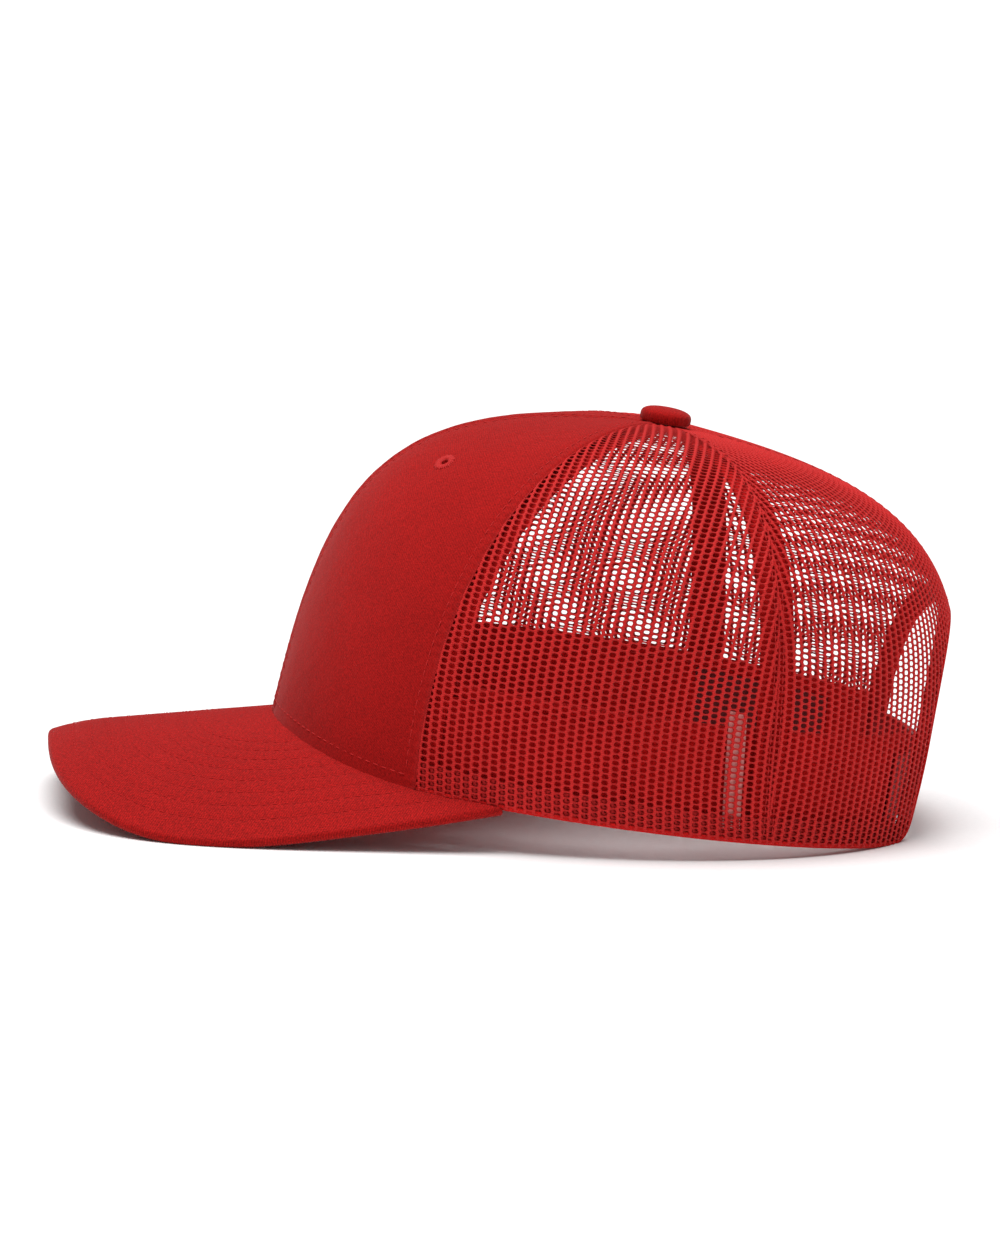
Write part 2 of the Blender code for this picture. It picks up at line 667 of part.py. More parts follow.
def build_eyelets():
    crest = GAP + EYELET_THICKNESS
    foot = -BUCKRAM_DEPTH - BUCKRAM_THICKNESS
    edge = EYELET_THICKNESS / 2
    for side, sign in SIDES:
        eyelet = turned(f"eyelet_{side}", THREAD, (
            (EYELET_HOLE, crest - edge), (EYELET_HOLE + edge, crest),
            (EYELET_RADIUS - edge, crest), (EYELET_RADIUS, GAP), (EYELET_BARREL, GAP),
            (EYELET_BARREL, foot), (EYELET_HOLE, foot)), False)
        eyelet.matrix_world = eyelet_frame(sign)


def build_labels():
    low, high = CARE_LABEL_HEIGHTS
    shares = [share_above_rim(CARE_LABEL_ANGLES[0], rise) for rise in (low, high)]
    wall_sheet("care_label", LABEL_WHITE, CARE_LABEL_ANGLES, shares, MESH_TAPE_DEPTH,
               LABEL_THICKNESS, *CARE_LABEL_GRID)
    low, high = WOVEN_LABEL_HEIGHTS
    shares = [share_above_rim(WOVEN_LABEL_ANGLES[0], rise) for rise in (low, high)]
    wall_sheet("woven_label", LABEL_DARK, WOVEN_LABEL_ANGLES, shares,
               SWEATBAND_DEPTH + SWEATBAND_THICKNESS + GAP, LABEL_THICKNESS, *WOVEN_LABEL_GRID)


def build_floor_cutter():
    """Block under z = 0, which gives the resting edges their flat faces."""
    bm = bmesh.new()
    bmesh.ops.create_cube(bm, size=1.0)
    bmesh.ops.scale(bm, vec=(FLOOR_SIZE, FLOOR_SIZE, FLOOR_DEPTH), verts=bm.verts)
    bmesh.ops.translate(bm, vec=(0.0, 0.0, -FLOOR_DEPTH / 2), verts=bm.verts)
    return add_cutter("floor", bm)


clear_scene()
PARTS = new_collection("TruckerMeshCap")
CUTTERS = new_collection("TruckerMeshCap_cutters")
TWILL = make_material("twill", TWILL_RED, roughness=0.85)
MESH = make_material("mesh", MESH_RED, roughness=0.6)
BUCKRAM = make_material("buckram", TWILL_RED, roughness=0.9)
TAPE = make_material("tape", TWILL_RED, roughness=0.8)
SWEAT = make_material("sweatband", TWILL_RED, roughness=0.9)
FOAM = make_material("foam", WHITE, roughness=0.95)
BOARD = make_material("board", DARK, roughness=0.6)
THREAD = make_material("thread", MESH_RED, roughness=0.6)
PLASTIC = make_material("plastic", TWILL_RED, roughness=0.4)
METAL = make_material("metal", STEEL, roughness=0.35, metallic=1.0)
LABEL_WHITE = make_material("label_white", WHITE, roughness=0.8)
LABEL_DARK = make_material("label_dark", DARK, roughness=0.8)

ARCH = arch_prism("arch_opening", 0.0)
FLOOR = build_floor_cutter()
build_panels(ARCH, FLOOR)
build_buckram()
build_seam_tapes()
build_sweatband(FLOOR)
build_arch_binding(ARCH, FLOOR)
build_straps()
build_strap_tabs()
build_visor(FLOOR)
build_button()
build_eyelets()
build_labels()
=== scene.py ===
"""Looks of the trucker mesh cap: woven panels, an open knitted net, seams, stitches and straps.

Metres, +Z up. The visor points along -Y and the wearer's left is +X. Angles round the crown are
pattern angles: 0 is the front seam, 60 the front/side seam, 120 the side/back seam, 180 the back
seam, positive on the wearer's left. A share is a place on a meridian, 0 at the rim and 1 at the
button. Depth is measured inwards from the crown's outer face.
"""
import math

import bpy
import numpy as np
from mathutils import Matrix, Vector


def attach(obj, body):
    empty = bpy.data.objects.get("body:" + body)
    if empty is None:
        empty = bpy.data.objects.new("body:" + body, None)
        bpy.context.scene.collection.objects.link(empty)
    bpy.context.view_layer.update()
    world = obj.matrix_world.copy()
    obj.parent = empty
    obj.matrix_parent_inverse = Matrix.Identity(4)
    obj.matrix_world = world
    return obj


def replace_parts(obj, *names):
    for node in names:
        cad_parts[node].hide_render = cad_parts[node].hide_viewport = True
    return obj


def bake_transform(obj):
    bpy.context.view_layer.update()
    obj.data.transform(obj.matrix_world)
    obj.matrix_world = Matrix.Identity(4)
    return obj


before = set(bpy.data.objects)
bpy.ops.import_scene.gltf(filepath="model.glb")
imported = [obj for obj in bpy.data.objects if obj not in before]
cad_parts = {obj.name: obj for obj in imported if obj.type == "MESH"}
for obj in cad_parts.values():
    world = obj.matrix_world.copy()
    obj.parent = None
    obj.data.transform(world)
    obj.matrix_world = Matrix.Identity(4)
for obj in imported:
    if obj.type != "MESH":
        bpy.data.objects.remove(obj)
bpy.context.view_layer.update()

MM = 0.001
SIDES = (("left", 1.0), ("right", -1.0))

# ---------------------------------------------------------------- crown, as the CAD has it
APEX = (0.0, 0.0466, 0.1186)          # where all seams meet, under the button
MERIDIANS = np.array((
    ((0.0, -0.0689, 0.0220), (0.0, -0.0546, 0.1000), (0.0, -0.0386, 0.1268), APEX),
    ((0.0643, -0.0295, 0.0163), (0.0690, -0.0274, 0.0860), (0.0630, 0.0099, 0.1270), APEX),
    ((0.0735, 0.0731, 0.0049), (0.0785, 0.0731, 0.0660), (0.0860, 0.0786, 0.1180), APEX),
    ((0.0, 0.1306, -0.0022), (0.0, 0.1454, 0.0580), (0.0, 0.1494, 0.1030), APEX)))
PANEL_ANGLE = 60.0
CROWN_END = 0.99                   # share at which the panels stop under the button
NORMAL_ANGLE = 0.5                 # steps for slopes, in degrees and in share
NORMAL_SHARE = 0.004
HALVINGS = 34
BACK_TURN = 0.00125                # metres per degree near the back seam, a first guess
LOW_RISE = 0.16                    # metres up the wall per share, near the rim
WAVES = ((0.031, 1.0), (0.013, 0.6), (0.0057, 0.35))    # reach and weight of uneven cloth
WAVE_WEIGHTS = 1.95                # those weights together

# ---------------------------------------------------------------- layers
TWILL_PROUD = 0.35 * MM            # the turned edges lift the front panels this far off the net
TWILL_THICKNESS = 0.6 * MM
TWILL_GRID = (130, 260)            # columns and rows
SEAM_PULL = (0.25 * MM, 0.8 * MM)  # depth and width of the front seam's groove
SIDE_PULL = (0.30 * MM, 0.55 * MM)
PUCKER_HEIGHT = 0.11 * MM          # of the ripples beside a seam
PUCKER_PITCH = 2.7 * MM
PUCKER_WIDTH = 2 * MM
EYELET_PULL = (0.35 * MM, 3.2 * MM)
FRONT_TURN = 1.1 * MM              # per degree round the front
TWILL_WANDER = 0.12 * MM
BUCKRAM_DEPTH = 1.2 * MM
BUCKRAM_THICKNESS = 0.4 * MM
BUCKRAM_SPAN = (0.02, 0.93)        # from rim to button, as shares
BUCKRAM_INSET = 0.4 * MM           # from the seams, besides one degree
MESH_TAPE_DEPTH = 1.3 * MM
FRONT_TAPE_DEPTH = 2.1 * MM
TAPE_THICKNESS = 0.4 * MM
TAPE_HALF_WIDTH = 5.6 * MM
TAPE_TAPER = 0.36                  # half width over distance from the button, near it
TAPE_START = 0.02
TAPE_END = 0.957
TAPE_ROW = 0.62                    # place of its stitch rows, as a share of its half width
TAPE_CREASE = 0.10 * MM
PADDING_DEPTH = 2.9 * MM
PADDING_THICKNESS = 1.2 * MM
PADDING_RISES = (6 * MM, 29 * MM)
PADDING_REACH = 96.0
PADDING_EDGE = 0.35                # thickness left along its long edges
PADDING_ROUND = 2 * MM             # reach of their rounding
SWEATBAND_DEPTH = 4.5 * MM
SWEATBAND_THICKNESS = 0.8 * MM
SWEATBAND_HEIGHT = 33 * MM
SWEATBAND_REACH = 154.5
SWEATBAND_FOOT = 1.5 * MM          # depth of the band where it is sewn to the rim
SWEATBAND_FLARE = 5 * MM           # height over which it leaves the wall
SWEATBAND_RIPPLE = (0.25 * MM, 23.0)
SWEATBAND_ROWS = ((0.12, 0.20 * MM), (0.90, 0.18 * MM))      # share of height, thread radius
SWEATBAND_CLEARANCE = 0.12 * MM    # above the floor
RIM_ROLL = (0.75 * MM, 0.85 * MM)  # depth and radius of the folded edge
RIM_LIFT = 0.30 * MM

# ---------------------------------------------------------------- net
NET_PITCH = 2.72 * MM              # between columns of holes
NET_ROW = 1.82 * MM                # between holes of a column
NET_ZIGZAG = 0.13 * MM             # sideways bend of the ribs between two columns
NET_HOLE = (0.95 * MM, 0.66 * MM)  # half width and half height of a hole
NET_HOLE_POWER = 2.8
NET_DEPTH = 0.42 * MM              # of the middle of the yarns
NET_RIB = 0.44 * MM                # half thickness of the upright ribs
NET_CROSS = 0.15 * MM              # half thickness of the cross strands
NET_RIB_SHARES = (1.0, 1.0, 1.0, 0.15, 0.0, 0.15)       # rib or cross, round half a cell
NET_WANDER = 0.09 * MM             # unevenness of the knitting
NET_LEAST = 0.3                    # share of a cell below which its hole is closed up
NET_DROP = 0.06                    # share of a cell below which it is left out
NET_RINGS = ((0.0, 1.0), (0.55, 0.80), (1.0, 0.0), (0.0, -0.8))
NET_MERGE = 2e-3 * MM
FLOOR_CLEARANCE = 0.05 * MM
HEM_HEIGHT = 7.6 * MM
HEM_DEPTH = 1.02 * MM
HEM_FLATTEN = 0.55                 # the folded edge is pressed flatter than the panel
HEM_SHIFT = 0.37                   # of a cell, between the two layers

# ---------------------------------------------------------------- arch opening and straps
ARCH_HALF_WIDTH = 36 * MM
ARCH_SPRING = 28 * MM
ARCH_TOP = 67 * MM
ARCH_POWER = 2.4
ARCH_CORNER = 6 * MM               # rounding where the opening meets the rim
ARCH_POINTS = (160, 16, 26)        # round the top, round each foot, up each leg
BINDING_WIDTH = 5.5 * MM
BINDING_THICKNESS = 0.4 * MM
BINDING_START = 0.2 * MM
BINDING_ROW = 2.6 * MM             # from the edge of the opening to its stitch row
BINDING_CLEARANCE = 0.15 * MM      # above the floor
ARCH_ROLL = (0.85 * MM, 0.95 * MM)

STRAP_HALF_SPAN = 33.5 * MM
STRAP_MIDDLE_HEIGHT = 17.5 * MM
STRAP_WIDTH = 19 * MM
STRAP_THICKNESS = 1.3 * MM
STRAP_GAP = 0.3 * MM
STRAP_BOW = 4 * MM
STRAP_LEAN = math.radians(10.5)
STRAP_OVERRUN = 19.5 * MM
STRAP_CORNER = 5 * MM
STRAP_POINTS = 240
STRAP_SMOOTHING = 30
STRAP_EDGE = 0.28 * MM
TAB_DEPTH = 2.2 * MM
TAB_ANGLE = 8.0
PEG_PITCH = 9.5 * MM
PEG_RADIUS = 1.9 * MM
PEG_HEAD = 2.25 * MM
PEG_STAND = 2.4 * MM
PEG_SLOTS = (-1.5, -0.5, 0.5, 1.5, 2.5)
HOLE_RADIUS = 2.7 * MM

# ---------------------------------------------------------------- visor
VISOR_CENTRE_Y = -0.0506
VISOR_HALF_WIDTH = 0.0780
VISOR_REACH = 0.0852
VISOR_BACK_REACH = 0.1100
VISOR_POWER = 3.0
VISOR_OUTLINE_ANGLE = 121.0
VISOR_CORNER_ANGLE = 72.0
VISOR_ROOT_Y = -0.0686
VISOR_ROOT_HEIGHT = 0.0277
VISOR_SLOPE = 0.105
VISOR_DROOP_Y = -0.1166
VISOR_DROOP = 7.0
VISOR_TIP_Y = -0.1306
VISOR_TIP_RADIUS = 0.1200
VISOR_RADIUS_GROWTH = 0.25
VISOR_THICKNESS = 3.3 * MM
VISOR_GRID = (260, 110)            # columns round the outline, rows from crown to edge
VISOR_EDGE_STEPS = 10
ROOT_GROWTH = 0.45
ROW_FIRST = 7.8 * MM               # of the stitch rows, from the outline inwards
ROW_PITCH = 5.3 * MM
ROW_COUNT = 8
ROW_CLEARANCE = 2.5 * MM           # from a row's ends to the crown
ROW_LEAST = 20                     # fewest points of a row worth sewing
FURROW = 0.13 * MM                 # how deep a stitch row pulls the cloth in
FURROW_WIDTH = 0.9 * MM
COVER_THICKNESS = 0.5 * MM
COVER_WANDER = 0.05 * MM
COVER_CLEARANCE = 0.02 * MM        # above the floor

# ---------------------------------------------------------------- button, eyelets, labels
BUTTON_TILT = math.radians(-7.5)
BUTTON_RADIUS = 7.7 * MM
BUTTON_HEIGHT = 4.2 * MM
BUTTON_LIFT = 1.0 * MM
BUTTON_PLEATS = 14
WASHER_RADIUS = 7.5 * MM
WASHER_DEPTH = 1.6 * MM
EYELET_ANGLE = 28.0
EYELET_HEIGHT = 0.1077
EYELET_HOLE = 1.1 * MM
EYELET_RADIUS = 3.8 * MM
EYELET_STITCHES = 34
EYELET_THREAD = 0.34 * MM
EYELET_PROUD = 0.25 * MM
EYELET_SIDES = 24
CARE_LABEL_ANGLES = (112.3, 115.3)
CARE_LABEL_RISES = (3 * MM, 38 * MM)
WOVEN_LABEL_ANGLES = (-145.0, -119.0)
WOVEN_LABEL_RISES = (5 * MM, 28 * MM)
LABEL_THICKNESS = 0.3 * MM
FOLD_GAP = 0.15 * MM               # between the layers of a ribbon folded in two

# ---------------------------------------------------------------- stitches
STITCH_PITCH = 3.0 * MM
STITCH_LENGTH = 2.3 * MM
STITCH_RADIUS = 0.17 * MM
STITCH_SINK = 0.05 * MM            # from a layer's face to the middle of its stitches
TOPSTITCH_INSET = 3.3 * MM         # from a seam to the row beside it
PUCKER_PLACE = 0.6 * TOPSTITCH_INSET
NET_INSET = 0.42 * TOPSTITCH_INSET
TWILL_ROW_SPAN = (0.03, 0.955)     # from rim to button, as shares
NET_ROW_SPAN = (0.015, 0.95)
ROOT_INSET = 2.6 * MM              # from the visor to the row above it

# ---------------------------------------------------------------- colours (linear)
TWILL_RED = (0.375, 0.0070, 0.0062)
TWILL_DEEP = (0.290, 0.0042, 0.0037)
# The visor's two reds are the crown twill's reds retuned for the brim. They are darker on the whole,
# as painted shade for the brim, with more contrast between ridge and valley.
VISOR_SHADED_RED = (0.385, 0.0080, 0.0071)
VISOR_SHADED_DEEP = (0.225, 0.0036, 0.0032)
TWILL_THREAD_RED = (0.560, 0.0190, 0.0180)
NET_RED = (0.580, 0.0210, 0.0200)
NET_DEEP = (0.440, 0.0080, 0.0075)
BAND_RED = (0.600, 0.0085, 0.0080)
BAND_DEEP = (0.480, 0.0055, 0.0050)
THREAD_RED = (0.600, 0.0200, 0.0190)
PLASTIC_RED = (0.330, 0.0070, 0.0085)
CANVAS_RED = (0.300, 0.0080, 0.0090)
FOAM_RED = (0.560, 0.0080, 0.0080)
LABEL_PALE = (0.95, 0.38, 0.35)
LABEL_DARK = (0.130, 0.0030, 0.0035)
BOARD_BLACK = (0.020, 0.019, 0.020)
STEEL = (0.52, 0.53, 0.55)
FLOOR_WHITE = (0.89, 0.89, 0.89)
WORN_RED = (0.60, 0.050, 0.048)
TWILL_TURN = -58.0                 # degrees from the cloth's grain to across its ridges

# ---------------------------------------------------------------- camera and light
# The camera is the one from which the cap's outline falls on the photo's.
CAMERA_TARGET = Vector((0.0, -0.0004, 0.05597))
CAMERA_BACK = Vector((0.98453, -0.09786, 0.14534)).normalized()
CAMERA_RIGHT = Vector((0.09237, 0.99475, 0.04409)).normalized()
CAMERA_DISTANCE = 1.5
CAMERA_LENS = 143.04
SENSOR = 36.0
FLOOR_SIZE = 60.0
WORLD_LIGHT = 0.30
SUN_LIGHT = 3.5
SUN_SOFTNESS = math.radians(45)
SUN_FROM = Vector((0.10, -0.12, 1.0))


# ================================================================ surfaces
def bezier(points, share):
    share = np.asarray(share, float)[..., None]
    rest = 1 - share
    return (rest ** 3 * points[0] + 3 * share * rest ** 2 * points[1]
            + 3 * share ** 2 * rest * points[2] + share ** 3 * points[3])


def crown_point(angle, share):
    """Blend the meridians round the crown with the few cosines that pass through all of them."""
    angle, share = np.broadcast_arrays(np.asarray(angle, float), np.asarray(share, float))
    turn = np.radians(angle)
    step = math.radians(PANEL_ANGLE)
    front, front_side, side_back, back = (bezier(points, share) for points in MERIDIANS)
    point = (front + 2 * front_side + 2 * side_back + back) / 6
    for wave in (1, 2):
        mixed = front + back * (-1) ** wave
        mixed = mixed + 2 * front_side * math.cos(wave * step)
        mixed = mixed + 2 * side_back * math.cos(2 * wave * step)
        point = point + mixed / 3 * np.cos(wave * turn)[..., None]
    last = (front - 2 * front_side + 2 * side_back - back) / 6
    point = point + last * np.cos(3 * turn)[..., None]
    point[..., 0] = 0.0
    for wave in (1, 2):
        mixed = front_side[..., 0] * math.sin(wave * step)
        mixed = mixed + side_back[..., 0] * math.sin(2 * wave * step)
        point[..., 0] += 2 / 3 * mixed * np.sin(wave * turn)
    return point


def unit(vectors):
    return vectors / np.maximum(np.linalg.norm(vectors, axis=-1, keepdims=True), 1e-12)


def crown_normal(angle, share):
    share = np.asarray(share, float)
    low = np.maximum(share - NORMAL_SHARE, 0.0)
    high = np.minimum(share + NORMAL_SHARE, 1.0 - NORMAL_SHARE)
    round_step = crown_point(angle + NORMAL_ANGLE, share) - crown_point(angle - NORMAL_ANGLE, share)
    return unit(np.cross(round_step, crown_point(angle, high) - crown_point(angle, low)))


def crown_inside(angle, share, depth):
    depth = np.asarray(depth, float)[..., None]
    return crown_point(angle, share) - crown_normal(angle, share) * depth


def metres_per_degree(angle, share):
    step = crown_point(angle + NORMAL_ANGLE, share) - crown_point(angle - NORMAL_ANGLE, share)
    return np.linalg.norm(step, axis=-1) / (2 * NORMAL_ANGLE)


def halve(low, high, is_below):
    """Largest values between low and high for which is_below still holds."""
    for _ in range(HALVINGS):
        middle = (low + high) / 2
        below = is_below(middle)
        low, high = np.where(below, middle, low), np.where(below, high, middle)
    return low


def share_at_height(angle, height):
    angle, height = np.broadcast_arrays(np.asarray(angle, float), np.asarray(height, float))
    return halve(np.zeros(angle.shape), np.full(angle.shape, 0.8),
                 lambda share: crown_point(angle, share)[..., 2] < height)


def share_above_rim(angle, rise):
    return share_at_height(angle, crown_point(angle, 0.0)[..., 2] + rise)


def place_on_back(x, z):
    """Pattern angle and share of the point of the crown's back with that x and z."""
    angle, share = 180.0 - x / BACK_TURN, z / LOW_RISE
    step, small = 0.1, 1e-4
    for _ in range(12):
        here = crown_point(angle, share)
        by_angle = (crown_point(angle + step, share) - here) / step
        by_share = (crown_point(angle, share + small) - here) / small
        gap_x, gap_z = x - here[..., 0], z - here[..., 2]
        turn = by_angle[..., 0] * by_share[..., 2] - by_share[..., 0] * by_angle[..., 2]
        angle = angle + (gap_x * by_share[..., 2] - gap_z * by_share[..., 0]) / turn
        share = share + (gap_z * by_angle[..., 0] - gap_x * by_angle[..., 2]) / turn
    return angle, share


def wander(across, up, size, seed=0.0):
    """Smooth unevenness of cloth, the same each time."""
    total = np.zeros(np.broadcast(across, up).shape)
    for number, (reach, weight) in enumerate(WAVES):
        shift = 2.3 * number + seed
        total += weight * (np.sin(across / reach * 6.28 + shift + 1.7 * np.sin(up / reach * 3.1))
                           * np.cos(up / reach * 5.1 - 1.3 * shift))
    return total * size / WAVE_WEIGHTS


def dip(distance, width):
    """Profile of a furrow, 1 at its line."""
    return np.exp(-(distance / width) ** 2)


def distances(path):
    """How far along a path each of its points is."""
    return np.concatenate([[0], np.linalg.norm(np.diff(path, axis=0), axis=1).cumsum()])


def read_along(at, reach, vectors):
    """Vectors given at distances reach, read at the distances at."""
    return np.stack([np.interp(at, reach, vectors[:, axis]) for axis in range(3)], axis=1)


def path_frame(path, normals):
    """Directions across a path, along a surface and up from it."""
    tangent = unit(np.gradient(path, axis=0))
    side = unit(np.cross(tangent, normals))
    return side, np.cross(side, tangent)


def lift_to(points, height):
    """Keeps points at least at a height above the floor."""
    points[..., 2] = np.maximum(points[..., 2], height)


# ================================================================ making pieces
def link(name, data):
    piece = bpy.data.objects.new(name, data)
    bpy.context.scene.collection.objects.link(piece)
    return piece


def follow(piece, slot, *nodes):
    """The piece rides on the crown and may stand for CAD nodes; its slot is not used."""
    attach(piece, "crown")
    if nodes:
        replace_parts(piece, *nodes)


def new_object(name, points, faces, material, uv=None):
    """A mesh from an array of points, face rows and one cloth coordinate in metres a point."""
    mesh = bpy.data.meshes.new(name)
    groups = faces if isinstance(faces, (list, tuple)) else [faces]
    groups = [np.asarray(group) for group in groups if len(group)]
    loops = np.concatenate([group.ravel() for group in groups])
    sizes = np.concatenate([np.full(len(group), group.shape[1]) for group in groups])
    starts = np.concatenate([[0], np.cumsum(sizes)[:-1]])
    mesh.vertices.add(len(points))
    mesh.vertices.foreach_set("co", np.asarray(points, np.float32).ravel())
    mesh.loops.add(len(loops))
    mesh.loops.foreach_set("vertex_index", loops.astype(np.int32))
    mesh.polygons.add(len(sizes))
    mesh.polygons.foreach_set("loop_start", starts.astype(np.int32))
    mesh.update(calc_edges=True)
    mesh.validate()
    if uv is not None:
        layer = mesh.uv_layers.new(name="cloth")
        corner = np.zeros(len(mesh.loops), np.int32)
        mesh.loops.foreach_get("vertex_index", corner)
        layer.data.foreach_set("uv", np.asarray(uv, np.float32)[corner].ravel())
    mesh.polygons.foreach_set("use_smooth", np.ones(len(mesh.polygons), bool))
    mesh.materials.append(material)
    return link(name, mesh)


def grid_faces(columns, rows, base=0):
    """Faces of a grid of (columns + 1) x (rows + 1) points, stored row by row."""
    first = (np.arange(rows)[:, None] * (columns + 1) + np.arange(columns)[None, :]).ravel() + base
    return np.stack([first, first + 1, first + columns + 2, first + columns + 1], axis=1)


def tube_faces(rows, around):
    """Sides and end caps of a tube of rows + 1 rings, stored ring by ring."""
    first = np.arange(rows)[:, None] * around
    a = (first + np.arange(around)).ravel()
    b = (first + (np.arange(around) + 1) % around).ravel()
    caps = [np.arange(around), np.arange(around)[::-1] + rows * around]
    return np.stack([a, a + around, b + around, b], axis=1), np.array(caps)


def slab(name, outer, inner, material, uv):
    """A sheet with thickness: outer and inner are grids of points (rows, columns, 3)."""
    rows, columns = outer.shape[0] - 1, outer.shape[1] - 1
    count = outer.shape[0] * outer.shape[1]
    points = np.concatenate([outer.reshape(-1, 3), inner.reshape(-1, 3)])
    faces = [grid_faces(columns, rows), grid_faces(columns, rows, count)[:, ::-1]]
    index = np.arange(count).reshape(outer.shape[:2])
    for rim in (index[0, :], index[-1, ::-1], index[::-1, 0], index[:, -1]):
        faces.append(np.stack([rim[1:], rim[:-1], rim[:-1] + count, rim[1:] + count], axis=1))
    uv = np.concatenate([uv.reshape(-1, 2), uv.reshape(-1, 2)])
    piece = new_object(name, points, np.concatenate(faces), material, uv)
    piece.data.set_sharp_from_angle(angle=math.radians(50))
    return piece


def cloth_uv(points):
    """Lengths along the rows and up the middle column of a grid of points."""
    along = np.linalg.norm(np.diff(points, axis=1), axis=2).cumsum(axis=1)
    along = np.concatenate([np.zeros((len(points), 1)), along], axis=1)
    along -= along[:, along.shape[1] // 2][:, None]
    up = distances(points[:, points.shape[1] // 2])
    return np.stack([along, np.repeat(up[:, None], along.shape[1], axis=1)], axis=2)


def crown_layer(name, angles, shares, depth, thickness, material):
    """A sheet on the crown, and the grid of its outer face."""
    outer = crown_inside(angles, shares, depth)
    inner = crown_inside(angles, shares, depth + thickness)
    return slab(name, outer, inner, material, cloth_uv(outer)), outer


def finish_sheet(piece, slot, node):
    """The piece rides on the crown and stands for a node."""
    follow(piece, slot, node)


def doubled(angles, shares, depth, thickness, axis):
    """Faces of a ribbon on the crown that is folded back on itself, grids doubled along an axis."""
    angles = np.concatenate([angles, np.flip(angles, axis)], axis)
    shares = np.concatenate([shares, np.flip(shares, axis)], axis)
    back = depth + 2 * thickness + FOLD_GAP
    face = np.concatenate([depth, np.flip(back, axis)], axis)
    reverse = np.concatenate([depth + thickness, np.flip(back - thickness, axis)], axis)
    return crown_inside(angles, shares, face), crown_inside(angles, shares, reverse)


class Thread:
    """Collects stitches, which become one piece."""
    RINGS = 5
    AROUND = 6

    def __init__(self):
        self.points, self.uv, self.faces, self.count = [], [], [], 0

    def stitch(self, path, normals, radius):
        """One stitch along a short path, its ends sunk into the cloth."""
        side, up = path_frame(path, normals)
        swell = np.sin(math.pi * np.linspace(0, 1, len(path)))
        lift = radius * (1.2 * swell ** 0.6 - 0.8)
        size = radius * (0.55 + 0.45 * swell ** 0.5)
        centre = path + up * lift[:, None]
        turn = np.arange(self.AROUND) / self.AROUND * 2 * math.pi
        ring = (side[:, None] * np.cos(turn)[None, :, None]
                + up[:, None] * np.sin(turn)[None, :, None])
        body = (centre[:, None] + ring * size[:, None, None]).reshape(-1, 3)
        sides, caps = tube_faces(len(path) - 1, self.AROUND)
        self.faces.append((sides + self.count, caps + self.count))
        self.points.append(body)
        length = np.linspace(0, 1, len(path)) * distances(path)[-1]
        self.uv.append(np.stack([np.repeat(length, self.AROUND),
                                 np.tile(turn * radius, len(path))], axis=1))
        self.count += len(body)

    def row(self, path, normals, radius=STITCH_RADIUS):
        """Stitches one after another along a path."""
        reach = distances(path)
        for number in range(int(reach[-1] / STITCH_PITCH)):
            start = number * STITCH_PITCH
            at = np.linspace(start, start + STITCH_LENGTH, self.RINGS)
            self.stitch(read_along(at, reach, path), unit(read_along(at, reach, normals)), radius)

    def finish(self, name, material=None):
        sides, caps = (np.concatenate(part) for part in zip(*self.faces))
        piece = new_object(name, np.concatenate(self.points), [sides, caps],
                           material or THREAD, np.concatenate(self.uv))
        follow(piece, "thread")
        return piece


def crown_row(thread, angles, shares, depth, inward=False):
    """A row of stitches on the crown, on its outer face or on the inner face of a layer."""
    normals = crown_normal(angles, shares)
    thread.row(crown_inside(angles, shares, depth), -normals if inward else normals)


